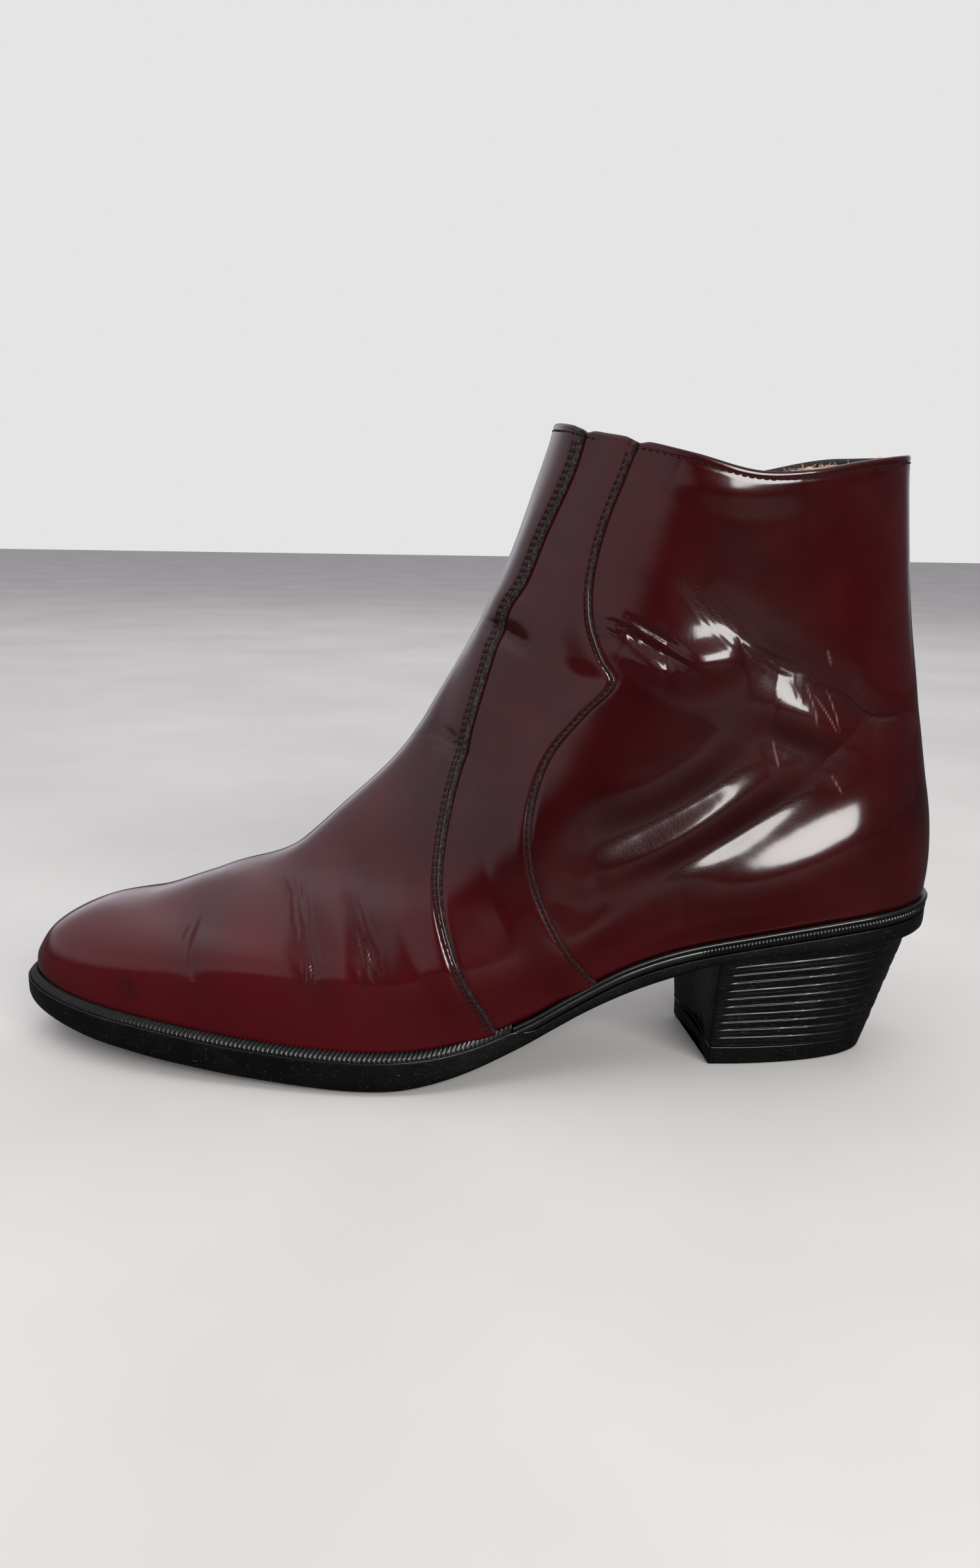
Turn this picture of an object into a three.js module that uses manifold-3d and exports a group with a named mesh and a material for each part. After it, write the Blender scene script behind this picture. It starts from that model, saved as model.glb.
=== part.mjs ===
// Left ankle boot with a Cuban heel and an inside zip. Millimetres, +Z up, toe towards -X.
// The outer side of the boot faces -Y and the inner side, with the zip, faces +Y.
// The origin is on the ground, under the middle of the boot.
import * as THREE from "three";
import { mergeVertices } from "three/addons/utils/BufferGeometryUtils.js";
import Module from "manifold-3d";

const wasm = await Module();
wasm.setup();

// ---------------------------------------------------------------- driving dimensions
const GAP = 0.3; // clearance between neighbouring pieces
const OUTER = -1; // side signs, along Y
const INNER = 1;

const LEATHER = 1.8; // thickness of the upper leather
const STIFFENER = 1.2; // thickness of the toe puff, counter and interlining
const PILE = 2.8; // thickness of the pile lining
const LAYER_GAP = 0.4; // clearance between the layers of the upper
const STIFFENER_TOP = LEATHER + LAYER_GAP;
const PILE_TOP = STIFFENER_TOP + STIFFENER + LAYER_GAP;
const LINING_DEPTH = PILE_TOP + PILE;

const BOARD = 2; // insole board
const FILLER = 1.7; // cork filler and shank
const WELT = BOARD + GAP + FILLER; // height of the welt and the rand
const SEAT_LIFT = 2.8; // how far the heel cushion raises the insole sock
const SOCK = 2.5;

const TOE_X = -153.5; // upper, at the feather line
const BACK_X = 143;
const BREAST_X = 70; // front face of the heel
const BREAST_SLANT = 0.13; // the breast runs forward towards the inner side
const LIFT = 6.4; // height of the heel's top piece
const HEEL_GROOVES = 9;
const GROOVE_DEPTH = 0.5;

// Side-view lines as [x, z]. The ridge runs from the toe over the instep and up the shin.
const RIDGE = [
  [TOE_X, 22], [-152.6, 29], [-146, 38], [-131, 46], [-111, 50.3], [-89, 58.3], [-67, 65.5],
  [-48, 81.3], [-29, 100], [-15, 122], [-4, 142], [4.5, 161], [12.5, 184], [18.5, 202],
];
const BACK = [
  [BACK_X, 56], [143.8, 68], [142.8, 82], [139.8, 98], [135.2, 124], [131.2, 148], [128.6, 172],
  [126.5, 194],
];
const FEATHER = [
  [TOE_X, 22], [-138, 19.5], [-110, 17], [-66, 13.2], [-24, 12.4], [-4, 15.5], [13, 22], [26, 29],
  [43, 37.5], [61, 43.5], [86, 48.5], [114, 53], [BACK_X, 56],
];
const SOLE_BOTTOM = [
  [-156, 14], [-137, 9], [-112, 5.5], [-86, 3], [-60, 1], [-38, 0], [-24, 0.6], [-8, 4.4], [8, 10.8],
  [22, 18.2], [31, 23], [45, 29], [58, 33.6], [73, 38], [100, 41.2], [145, 45],
];
const TOPLINE = {
  [OUTER]: [[18.5, 202], [30, 198.5], [43, 195.5], [57, 192], [74, 187.6], [90, 188], [108, 191.2], [126.5, 194]],
  [INNER]: [[18.5, 202], [43, 197.5], [74, 194.5], [100, 194], [126.5, 194]],
};

// Seams on the outer side, from the topline down to the feather line.
const FRONT_SEAM = [
  [28, 206], [24, 189], [15, 168], [10, 155], [4, 144], [-2, 125], [-8, 103], [-13, 81], [-14, 62],
  [-9, 43], [0, 25], [9, 6],
];
const REAR_SEAM = [
  [44, 204], [38, 187], [32, 170], [29, 155], [29.5, 143], [33, 133], [36.5, 126.5], [28, 117], [18, 104],
  [13, 88], [13, 72], [18, 57], [27, 42], [40, 26],
];
const SEAM_BOTTOM_Z = -20;

// Half widths of the upper. Rows run up from the feather line and columns from the toe to the back.
const COLUMNS = [0, 0.1, 0.25, 0.4, 0.55, 0.7, 0.85, 1];
const ROWS = [0, 0.13, 0.35, 0.6, 0.8, 1];
const HALF_WIDTH = {
  [OUTER]: [
    [41, 44, 44.5, 44.5, 37.5, 34, 40, 54],
    [41, 45.5, 46.5, 46, 41, 37.5, 42.5, 51],
    [30, 36, 41, 39.5, 37, 36.5, 38, 42],
    [26, 31, 35, 36, 36, 35, 33.5, 34],
    [26, 30, 33, 34.5, 35, 34, 32, 31],
    [27, 30, 33, 34.5, 35, 34, 32, 31],
  ],
  [INNER]: [
    [41, 40.5, 43, 45, 35, 30.5, 38, 54],
    [41, 43, 45.5, 46, 38, 34.5, 40.5, 51],
    [30, 35, 39.5, 38, 36, 35.8, 37, 42],
    [26, 31, 34.5, 35.5, 35.5, 34.8, 33, 34],
    [26, 30, 33, 34.3, 34.8, 34, 32, 31],
    [27, 30, 33, 34.2, 34.6, 33.8, 32, 31],
  ],
};
const ROUNDNESS = 0.9; // 1 gives elliptic loops, less gives fuller ones
const TOE_SWING = 5; // the toe turns this far to the inner side

// Sole edge beyond the feather line, from the toe to the back, and how far its sidewall tapers in.
const SOLE_EDGE = [[0, 3], [0.3, 3], [0.45, 2.6], [0.55, 1], [0.7, 0.8], [0.85, 1], [1, 1]];
const SOLE_TAPER = 5;
const SIDEWALL_TAPER = 0.9; // at the lower edge of the sidewall, this far above the tread
const SIDEWALL_FOOT = 2.4;
const WELT_END_X = 8; // the ribbed welt runs from the toe back to here

// The zip, as [x, z] of its two ends on the inner side.
const ZIP_TOP = [79, 189];
const ZIP_BOTTOM = [64, 78];
const TOOTH_PITCH = 4;
const SLOT = 6.3; // half width of the slot in the leather
const LINING_SLOT = 4.6;
const SLIDER_LENGTH = 9;
const SLIDER_REST = 7.5; // from the top end of the zip down to the slider's middle

const AROUND = 44; // mesh points round the upper
const LAST_ROW = 15; // mesh rows up the upper
const FAR = 400;

// ---------------------------------------------------------------- materials
const finish = (color, roughness, metalness = 0) =>
  new THREE.MeshStandardMaterial({ color, roughness, metalness });
const burgundy = () => finish(0x4a0c14, 0.16);
const blackRubber = () => finish(0x191b19, 0.38);
const pile = () => finish(0xd79678, 0.95);
const board = () => finish(0xa88a62, 0.85);
const backing = () => finish(0xe8e0d2, 0.9);
const tapeCloth = () => finish(0x241014, 0.85);
const brassy = () => finish(0xb08d4a, 0.35, 0.9);
const steel = () => finish(0x8b8f94, 0.35, 1);

// ---------------------------------------------------------------- curves
const clamp = (t) => Math.min(1, Math.max(0, t));
const mix = (a, b, t) => a + (b - a) * t;
const smooth = (t) => clamp(t) ** 2 * (3 - 2 * clamp(t));

/** A smooth function through [x, y] pairs whose x rises. */
function through(pairs) {
  const n = pairs.length;
  const slope = pairs.map((_, i) => {
    const [a, b] = [pairs[Math.max(0, i - 1)], pairs[Math.min(n - 1, i + 1)]];
    return (b[1] - a[1]) / (b[0] - a[0]);
  });
  return (x) => {
    let i = 0;
    while (i < n - 2 && x > pairs[i + 1][0]) i++;
    const [[x0, y0], [x1, y1]] = [pairs[i], pairs[i + 1]];
    const width = x1 - x0;
    const t = clamp((x - x0) / width);
    const bend = (slope[i] * (1 - t) ** 2 * t - slope[i + 1] * t ** 2 * (1 - t)) * width;
    return y0 * (1 - t) ** 2 * (1 + 2 * t) + y1 * t ** 2 * (3 - 2 * t) + bend;
  };
}

/** A smooth path through [x, z] points, as a function of the share of its length. */
function path(points) {
  const reach = [0];
  for (let i = 1; i < points.length; i++) {
    reach.push(reach[i - 1] + Math.hypot(points[i][0] - points[i - 1][0], points[i][1] - points[i - 1][1]));
  }
  const total = reach[reach.length - 1];
  const along = [0, 1].map((axis) => through(points.map((p, i) => [reach[i] / total, p[axis]])));
  return (u) => [along[0](u), along[1](u)];
}

const ridge = path(RIDGE);
const back = path(BACK);
const featherZ = through(FEATHER);
const soleBottomZ = through(SOLE_BOTTOM);
const toplineZ = { [OUTER]: through(TOPLINE[OUTER]), [INNER]: through(TOPLINE[INNER]) };
const soleEdge = through(SOLE_EDGE);

// ---------------------------------------------------------------- the upper's surface
const widthRows = {};
for (const side of [OUTER, INNER]) {
  widthRows[side] = HALF_WIDTH[side].map((row) => through(row.map((w, i) => [COLUMNS[i], w])));
}

/** The half width at share s from the toe to the back and share v up from the feather line. */
function halfWidth(s, v, side) {
  const column = widthRows[side].map((row, i) => [ROWS[i], row(s)]);
  return through(column)(v) * (4 * s * (1 - s)) ** (ROUNDNESS / 2);
}

/** A point on the outside of the upper. The side view is a patch between its four edge lines. */
function upperPoint(s, v, side) {
  const [front, rear] = [ridge(v), back(v)];
  const low = mix(TOE_X, BACK_X, s);
  const high = mix(RIDGE.at(-1)[0], BACK.at(-1)[0], s);
  const bottom = [low, featherZ(low)];
  const top = [high, toplineZ[side](high)];
  const [x, z] = [0, 1].map((axis) => {
    const across = mix(front[axis], rear[axis], s) + mix(bottom[axis], top[axis], v);
    const corners = mix(
      mix(RIDGE[0][axis], BACK[0][axis], s),
      mix(RIDGE.at(-1)[axis], BACK.at(-1)[axis], s),
      v,
    );
    return across - corners;
  });
  const swing = TOE_SWING * clamp((-10 - x) / (-10 - TOE_X)) ** 1.5;
  return new THREE.Vector3(x, swing + side * halfWidth(s, v, side), z);
}

/** The same point by angle round the loop: 0 at the ridge, then the outer side, the back and the inner side. */
function loopPoint(angle, v) {
  const side = Math.sin(angle) >= 0 ? OUTER : INNER;
  return upperPoint((1 - Math.cos(angle)) / 2, clamp(v), side);
}

function loopNormal(angle, v) {
  const step = 0.004;
  const around = loopPoint(angle + step, v).sub(loopPoint(angle - step, v));
  const up = loopPoint(angle, v + step).sub(loopPoint(angle, v - step));
  return around.cross(up).normalize();
}

/** The place on the inner or outer side that is seen at [x, z] from the side, with its normal. */
function onSide([x, z], side) {
  let [s, v] = [0.5, 0.5];
  const step = 1e-3;
  for (let round = 0; round < 30; round++) {
    const p = upperPoint(s, v, side);
    const ps = upperPoint(s + step, v, side).sub(p).divideScalar(step);
    const pv = upperPoint(s, v + step, side).sub(p).divideScalar(step);
    const det = ps.x * pv.z - pv.x * ps.z;
    const [dx, dz] = [x - p.x, z - p.z];
    s = Math.min(0.98, Math.max(0.02, s + (dx * pv.z - pv.x * dz) / det));
    v = Math.min(0.998, Math.max(0, v + (ps.x * dz - dx * ps.z) / det));
  }
  const angle = Math.acos(1 - 2 * s) * -side;
  return { point: upperPoint(s, v, side), normal: loopNormal(angle, v) };
}

// ---------------------------------------------------------------- solids
function toManifold(geometry) {
  const bare = geometry.index ? geometry : geometry.clone();
  bare.deleteAttribute("normal");
  bare.deleteAttribute("uv");
  const merged = mergeVertices(bare, 1e-4);
  return new wasm.Manifold(
    new wasm.Mesh({
      numProp: 3,
      vertProperties: new Float32Array(merged.attributes.position.array),
      triVerts: new Uint32Array(merged.index.array),
    }),
  );
}

/** A solid from an indexed geometry, with its faces turned over if they point inwards. */
function rightWayOut(geometry, index) {
  geometry.setIndex(index);
  const solid = toManifold(geometry);
  if (solid.volume() > 0) return solid;
  geometry.setIndex(index.map((_, i) => index[i + 2 - 2 * (i % 3)]));
  return toManifold(geometry);
}

/** A closed solid through rings of points. Each ring starts at the front, and its end faces are pair strips. */
function loft(rings) {
  const n = rings[0].length;
  const positions = rings.flat().flatMap((p) => [p.x, p.y, p.z]);
  const index = [];
  for (let r = 0; r < rings.length - 1; r++) {
    for (let i = 0; i < n; i++) {
      const [a, b] = [r * n + i, r * n + ((i + 1) % n)];
      index.push(a, b, b + n, a, b + n, a + n);
    }
  }
  const capStrips = (first, flip) => {
    for (let i = 0; i < n / 2; i++) {
      const [a, b] = [first + i, first + i + 1];
      const [c, d] = [first + ((n - i) % n), first + n - i - 1];
      const faces = i === 0 ? [[a, d, b]] : i === n / 2 - 1 ? [[a, c, b]] : [[a, c, d], [a, d, b]];
      for (const [p, q, s] of faces) index.push(...(flip ? [p, s, q] : [p, q, s]));
    }
  };
  capStrips(0, false);
  capStrips((rings.length - 1) * n, true);
  const geometry = new THREE.BufferGeometry();
  geometry.setAttribute("position", new THREE.Float32BufferAttribute(positions, 3));
  return rightWayOut(geometry, index);
}

/** A flat outline in the side view, [x, z] points, as a slab from y0 to y1. */
function slab(points, y0, y1) {
  const shape = new THREE.Shape(points.map(([x, z]) => new THREE.Vector2(x, z)));
  const geometry = new THREE.ExtrudeGeometry(shape, { depth: y1 - y0, bevelEnabled: false });
  geometry.rotateX(Math.PI / 2).translate(0, y1, 0);
  return toManifold(geometry);
}

function biggestPart(solid) {
  const parts = solid.decompose();
  return parts.reduce((a, b) => (b.volume() > a.volume() ? b : a));
}

/** Everything over the feather line, which trims the bottom edge of each layer of the upper. */
const featherEdge = Array.from({ length: 45 }, (_, i) => {
  const x = mix(TOE_X, BACK_X, i / 44);
  return [x, featherZ(x) + GAP / 3];
});
const aboveFeather = slab(
  [[-FAR, FAR], [-FAR, featherEdge[0][1]], ...featherEdge, [FAR, featherEdge.at(-1)[1]], [FAR, FAR]],
  -FAR,
  FAR,
);

/** One layer of the upper: the solid between two depths under its outside, between two rows. */
function layer(depthOut, depthIn, firstRow = 0, lastRow = LAST_ROW) {
  const wall = (depth) =>
    Array.from({ length: lastRow - firstRow + 1 }, (_, j) => {
      const v = (firstRow + j) / LAST_ROW;
      return Array.from({ length: AROUND }, (_, i) => {
        const angle = (2 * Math.PI * i) / AROUND;
        return loopPoint(angle, v).addScaledVector(loopNormal(angle, v), -depth);
      });
    });
  const rings = [...wall(depthOut), ...wall(depthIn).reverse()];
  const n = AROUND;
  const positions = rings.flat().flatMap((p) => [p.x, p.y, p.z]);
  const index = [];
  for (let r = 0; r < rings.length; r++) {
    const next = (r + 1) % rings.length;
    for (let i = 0; i < n; i++) {
      const [a, b] = [r * n + i, r * n + ((i + 1) % n)];
      const [c, d] = [next * n + ((i + 1) % n), next * n + i];
      index.push(a, b, c, a, c, d);
    }
  }
  const geometry = new THREE.BufferGeometry();
  geometry.setAttribute("position", new THREE.Float32BufferAttribute(positions, 3));
  return rightWayOut(geometry, index).intersect(aboveFeather);
}

/** Points along a seam, moved sideways by an offset, for the edge of a panel. */
function seamEdge(points, shift, count = 22) {
  const line = path(points);
  const edge = Array.from({ length: count + 1 }, (_, i) => line(i / count));
  return edge.map(([x, z]) => [x + shift, z]);
}

const HALF = GAP / 2;

/** The side-view region between two edges that run from the top down. */
const between = (frontEdge, rearEdge) => [...frontEdge, ...[...rearEdge].reverse()];
const wayAhead = [[-FAR, FAR], [-FAR, SEAM_BOTTOM_Z]];
const wayBehind = [[FAR, FAR], [FAR, SEAM_BOTTOM_Z]];
const reachUp = (edge) => [[edge[0][0], FAR], ...edge];

// ---------------------------------------------------------------- the zip's own frame
const zipTop = onSide(ZIP_TOP, INNER);
const zipBottom = onSide(ZIP_BOTTOM, INNER);
const ZIP_LENGTH = zipTop.point.distanceTo(zipBottom.point);
const zipUp = zipTop.point.clone().sub(zipBottom.point).normalize();
const zipAcross = zipUp.clone().cross(zipTop.normal.clone().add(zipBottom.normal)).normalize();
const zipOut = zipAcross.clone().cross(zipUp).normalize();
// Local axes of every zip piece: X across towards the toe, Y up the zip from its bottom end, Z outwards.
const zipFrame = new THREE.Matrix4()
  .makeBasis(zipAcross, zipUp, zipOut)
  .setPosition(zipBottom.point);

function zipBox(x0, x1, y0, y1, z0, z1) {
  const box = new THREE.BoxGeometry(x1 - x0, y1 - y0, z1 - z0);
  box.translate((x0 + x1) / 2, (y0 + y1) / 2, (z0 + z1) / 2);
  return toManifold(box.applyMatrix4(zipFrame));
}

const onZip = (x, y, z) => new THREE.Vector3(x, y, z).applyMatrix4(zipFrame);

/** The slot for the zip, cut through the inner wall. */
const slotCut = (half) => zipBox(-half, half, -3, ZIP_LENGTH + 60, -14, 10);

// ---------------------------------------------------------------- the assembly
const boot = new THREE.Group();
const pieces = new Map();

function add(name, solid, material) {
  const mesh = biggestPart(solid).getMesh();
  const geometry = new THREE.BufferGeometry();
  geometry.setAttribute("position", new THREE.Float32BufferAttribute(mesh.vertProperties, 3));
  geometry.setIndex(Array.from(mesh.triVerts));
  const piece = new THREE.Mesh(geometry, material);
  piece.name = name;
  boot.add(piece);
  pieces.set(name, piece);
}

function buildUpper() {
  const leather = layer(0, LEATHER);
  const front = seamEdge(FRONT_SEAM, -HALF);
  const frontRear = seamEdge(FRONT_SEAM, HALF);
  const rear = seamEdge(REAR_SEAM, -HALF);
  const rearRear = seamEdge(REAR_SEAM, HALF);
  add("vamp", leather.intersect(slab(between(wayAhead, reachUp(front)), -FAR, FAR)), burgundy());
  const panel = between(reachUp(frontRear), reachUp(rear));
  add("outer_side_panel", leather.intersect(slab(panel, -FAR, -HALF)), burgundy());
  const quarter = between(reachUp(rearRear), wayBehind);
  add("outer_quarter", leather.intersect(slab(quarter, -FAR, -HALF)), burgundy());

  const slotted = leather.subtract(slotCut(SLOT));
  const zipLine = (shift) => [
    [mix(ZIP_BOTTOM[0], ZIP_TOP[0], 3) + shift, mix(ZIP_BOTTOM[1], ZIP_TOP[1], 3)],
    [mix(ZIP_BOTTOM[0], ZIP_TOP[0], -1) + shift, mix(ZIP_BOTTOM[1], ZIP_TOP[1], -1)],
  ];
  const innerFront = between(reachUp(frontRear), zipLine(-HALF));
  add("inner_side_panel", slotted.intersect(slab(innerFront, HALF, FAR)), burgundy());
  const innerRear = between(zipLine(HALF), wayBehind);
  add("inner_quarter", slotted.intersect(slab(innerRear, HALF, FAR)), burgundy());
}

function buildStiffeners() {
  const sheet = (first, last) => layer(STIFFENER_TOP, STIFFENER_TOP + STIFFENER, first, last);
  const ahead = (x) => slab([[-FAR, FAR], [-FAR, -FAR], [x, -FAR], [x, FAR]], -FAR, FAR);
  const behind = (x, y0 = -FAR, y1 = FAR) => slab([[x, FAR], [x, -FAR], [FAR, -FAR], [FAR, FAR]], y0, y1);
  const slot = slotCut(SLOT);
  add("toe_puff", sheet(0, 4).intersect(ahead(-100)), backing());
  add("heel_counter", sheet(0, 5).intersect(behind(84)), backing());
  const shaft = sheet(6, 13).subtract(slot);
  const sideOf = (y0, y1) => behind(30, y0, y1);
  add("outer_interlining", shaft.intersect(sideOf(-FAR, -HALF)), backing());
  const innerFrontHalf = zipBox(0, FAR, -FAR, FAR, -FAR, FAR);
  const innerShaft = shaft.intersect(sideOf(HALF, FAR));
  add("inner_front_interlining", innerShaft.intersect(innerFrontHalf), backing());
  add("inner_rear_interlining", innerShaft.subtract(innerFrontHalf), backing());
  add("topline_tape", sheet(14, 15).subtract(slot), backing());
}

function buildLining() {
  const lining = layer(PILE_TOP, LINING_DEPTH);
  const split = (x) => [[x, FAR], [x, -FAR]];
  const [vampEnd, shaftStart] = [split(-6 - HALF), split(-6 + HALF)];
  add("vamp_lining", lining.intersect(slab(between(wayAhead, vampEnd), -FAR, FAR)), pile());
  const shaft = lining.intersect(slab(between(shaftStart, wayBehind), -FAR, FAR));
  const half = (y0, y1) => slab([[-FAR, FAR], [-FAR, -FAR], [FAR, -FAR], [FAR, FAR]], y0, y1);
  add("outer_shaft_lining", shaft.intersect(half(-FAR, -HALF)), pile());
  add("inner_shaft_lining", shaft.intersect(half(HALF, FAR)).subtract(slotCut(LINING_SLOT)), pile());
}

/** A ring of points under the upper: its outline grown by an edge, at a height that follows x. */
function soleRing(grow, height) {
  return Array.from({ length: AROUND }, (_, i) => {
    const angle = (2 * Math.PI * i) / AROUND;
    const s = (1 - Math.cos(angle)) / 2;
    const p = loopPoint(angle, 0);
    const out = loopNormal(angle, 0);
    out.z = 0;
    p.addScaledVector(out.normalize(), typeof grow === "function" ? grow(s) : grow);
    p.z = height(p.x);
    return p;
  });
}

/** A plate under or inside the upper, between two heights that follow x. */
const plate = (growLow, growHigh, low, high) => loft([soleRing(growLow, low), soleRing(growHigh, high)]);

function buildBottom() {
  const belowFeather = (depth) => (x) => featherZ(x) - depth;
  const strip = (x0, x1) => slab([[x0, FAR], [x0, -FAR], [x1, -FAR], [x1, FAR]], -FAR, FAR);
  const boardOutline = -5;
  const holeForScrew = screwHole();

  const insole = plate(boardOutline, boardOutline, belowFeather(GAP + BOARD), belowFeather(GAP));
  add("insole_board", insole.subtract(holeForScrew), board());

  const ringOut = plate(soleEdge, soleEdge, belowFeather(GAP + WELT), belowFeather(GAP));
  const ringHole = plate(boardOutline + GAP, boardOutline + GAP, belowFeather(WELT + 3), belowFeather(-3));
  const ring = ringOut.subtract(ringHole);
  add("ribbed_welt", ring.intersect(strip(-FAR, WELT_END_X - HALF)), blackRubber());
  add("heel_rand", ring.intersect(strip(WELT_END_X + HALF, FAR)), blackRubber());

  const fillerTop = belowFeather(2 * GAP + BOARD);
  const under = plate(boardOutline, boardOutline, belowFeather(GAP + WELT), fillerTop);
  const shankZone = slab([[12, FAR], [12, -FAR], [104, -FAR], [104, FAR]], -7, 7);
  const shankRoom = slab([[12 - GAP, FAR], [12 - GAP, -FAR], [104 + GAP, -FAR], [104 + GAP, FAR]], -7 - GAP, 7 + GAP);
  add("steel_shank", under.intersect(shankZone), steel());
  add("cork_filler", under.subtract(shankRoom).intersect(strip(-FAR, 108)), finish(0x8a6238, 0.95));

  const outsole = loft([
    soleRing((s) => soleEdge(s) - SOLE_TAPER, soleBottomZ),
    soleRing((s) => soleEdge(s) - SIDEWALL_TAPER, (x) => soleBottomZ(x) + SIDEWALL_FOOT),
    soleRing(soleEdge, belowFeather(2 * GAP + WELT)),
  ]);
  add("outsole", outsole.subtract(holeForScrew), blackRubber());

  const cushionZone = strip(84, FAR);
  const cushion = plate(-9, -9, belowFeather(0), belowFeather(-(SEAT_LIFT - GAP)));
  add("heel_cushion", cushion.intersect(cushionZone), finish(0xd9c58a, 0.95));
  const lift = (x) => SEAT_LIFT * smooth((x - 40) / 40);
  const sockLow = (x) => featherZ(x) + lift(x);
  const sockHigh = (x) => featherZ(x) + lift(x) + SOCK;
  const inset = -(LINING_DEPTH + 2.4);
  add("insole_sock", plate(inset, inset, sockLow, sockHigh), pile());
}

// ---------------------------------------------------------------- heel
const HEEL_TOP_GAP = GAP;
const heelTopZ = (x) => soleBottomZ(x) - HEEL_TOP_GAP;
const HEEL_SEAT = { back: 139.5, half: 27 }; // outline where the heel meets the sole
const HEEL_FOOT = { back: 127, half: 20 }; // outline on the ground

/** A level outline of the heel at share t from the ground to the seat. */
function heelRing(t, height, inset = 0) {
  const quarter = 9;
  const backX = mix(HEEL_FOOT.back, HEEL_SEAT.back, t) - inset;
  const half = mix(HEEL_FOOT.half, HEEL_SEAT.half, t ** 1.2) - inset;
  const fullness = mix(1, 0.8, t);
  const front = BREAST_X + inset * 0.6;
  const side = Array.from({ length: quarter + 1 }, (_, i) => {
    const angle = (Math.PI / 2) * (i / quarter);
    return [front + (backX - front) * Math.sin(angle) ** fullness, half * Math.cos(angle) ** fullness];
  });
  const spots = [
    [front, 0],
    ...side.map(([x, y]) => [x, -y]),
    ...side.slice(0, -1).reverse().map(([x, y]) => [x, y]),
  ];
  return spots.map(([x, y]) => {
    const slanted = x - BREAST_SLANT * y * (1 - (x - front) / (backX - front));
    return new THREE.Vector3(slanted, y, height(slanted));
  });
}

/** The stacked part of the heel: each groove dips in between two layers. */
function stackedHeel(low, high, grooves) {
  const rings = [];
  const height = (share) => (x) => mix(low, high(x), share);
  const t = (share) => mix(LIFT / 40, 1, share);
  const lip = 0.09 / grooves;
  for (let i = 0; i <= grooves; i++) {
    const share = i / grooves;
    if (i > 0) rings.push(heelRing(t(share - lip), height(share - lip)));
    if (i > 0 && i < grooves) rings.push(heelRing(t(share), height(share), GROOVE_DEPTH));
    if (i < grooves) rings.push(heelRing(t(share + lip * (i > 0)), height(share + lip * (i > 0))));
  }
  return loft(rings);
}

const SCREW_X = 112;
const SCREW = { radius: 2, head: 3.6, headHeight: 1.3, depth: 22 };

function screwAt(radius, headRadius, slack) {
  const top = featherZ(SCREW_X) - 2 * GAP + slack;
  const shaft = new THREE.CylinderGeometry(radius, radius, SCREW.depth + slack, 10);
  shaft.rotateX(Math.PI / 2).translate(SCREW_X, 0, top - (SCREW.depth + slack) / 2);
  const head = new THREE.CylinderGeometry(headRadius, headRadius, SCREW.headHeight + slack, 12);
  head.rotateX(Math.PI / 2).translate(SCREW_X, 0, top - (SCREW.headHeight + slack) / 2);
  return toManifold(shaft).add(toManifold(head));
}

function screwHole() {
  return screwAt(SCREW.radius + GAP, SCREW.head + GAP, 2 * GAP);
}

function buildHeel() {
  const block = stackedHeel(LIFT + GAP, heelTopZ, HEEL_GROOVES);
  add("heel_block", block.subtract(screwHole()), blackRubber());
  add("heel_top_piece", loft([heelRing(0, () => 0), heelRing(LIFT / 40, () => LIFT)]), blackRubber());
  add("heel_screw", screwAt(SCREW.radius, SCREW.head, 0), steel());
}

// ---------------------------------------------------------------- zip
const TEETH = { inner: 0.9, outer: 2.6, low: -1.9, high: -0.1 };
const TAPE = { outer: 6, low: -1.5, high: -0.7 };

/** A row of teeth as one comb: a cord along the tape with a tooth at each pitch. */
function teethRow(side) {
  const root = TEETH.outer - 0.7;
  const outline = [];
  const count = Math.floor((ZIP_LENGTH - 6) / TOOTH_PITCH);
  outline.push([TEETH.outer, 2]);
  outline.push([root, 2]);
  for (let i = 0; i < count; i++) {
    const y = 2.6 + i * TOOTH_PITCH;
    outline.push([root, y], [TEETH.inner, y + 0.3], [TEETH.inner, y + 1.5], [root, y + 1.8]);
  }
  const end = 2.6 + count * TOOTH_PITCH;
  outline.push([root, end], [TEETH.outer, end]);
  const placed = outline.map(([x, y]) => new THREE.Vector2(x * side, y));
  const options = { depth: TEETH.high - TEETH.low, bevelEnabled: false };
  const comb = new THREE.ExtrudeGeometry(new THREE.Shape(placed), options);
  comb.translate(0, 0, TEETH.low).applyMatrix4(zipFrame);
  return toManifold(comb);
}

function buildZip() {
  const tape = (side) => {
    const [a, b] = [TEETH.outer + GAP, TAPE.outer];
    const [x0, x1] = side > 0 ? [a, b] : [-b, -a];
    return zipBox(x0, x1, -1.5, ZIP_LENGTH + 1.5, TAPE.low, TAPE.high);
  };
  const stop = (side) => {
    const [x0, x1] = side > 0 ? [TEETH.inner, TEETH.outer] : [-TEETH.outer, -TEETH.inner];
    return zipBox(x0, x1, ZIP_LENGTH - 2.4, ZIP_LENGTH - 0.4, TEETH.low, TEETH.high + 0.6);
  };
  for (const [name, side] of [["front", 1], ["rear", -1]]) {
    add(`zip_tape_${name}`, tape(side), tapeCloth());
    add(`zip_teeth_${name}`, teethRow(side), brassy());
    add(`zip_top_stop_${name}`, stop(side), brassy());
  }
  const bottomStop = zipBox(-TEETH.outer, TEETH.outer, 0, 1.6, TEETH.low, TEETH.high + 0.6);
  add("zip_bottom_stop", bottomStop, brassy());
  const flap = zipBox(-11, 11, -2, ZIP_LENGTH - 3, -LINING_DEPTH - 2.6, -LINING_DEPTH - 1.4);
  add("zip_flap", flap, finish(0x7a5040, 0.6));
}

const SLIDER_Y = ZIP_LENGTH - SLIDER_REST;
const PIVOT_HEIGHT = 2.3;

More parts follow.
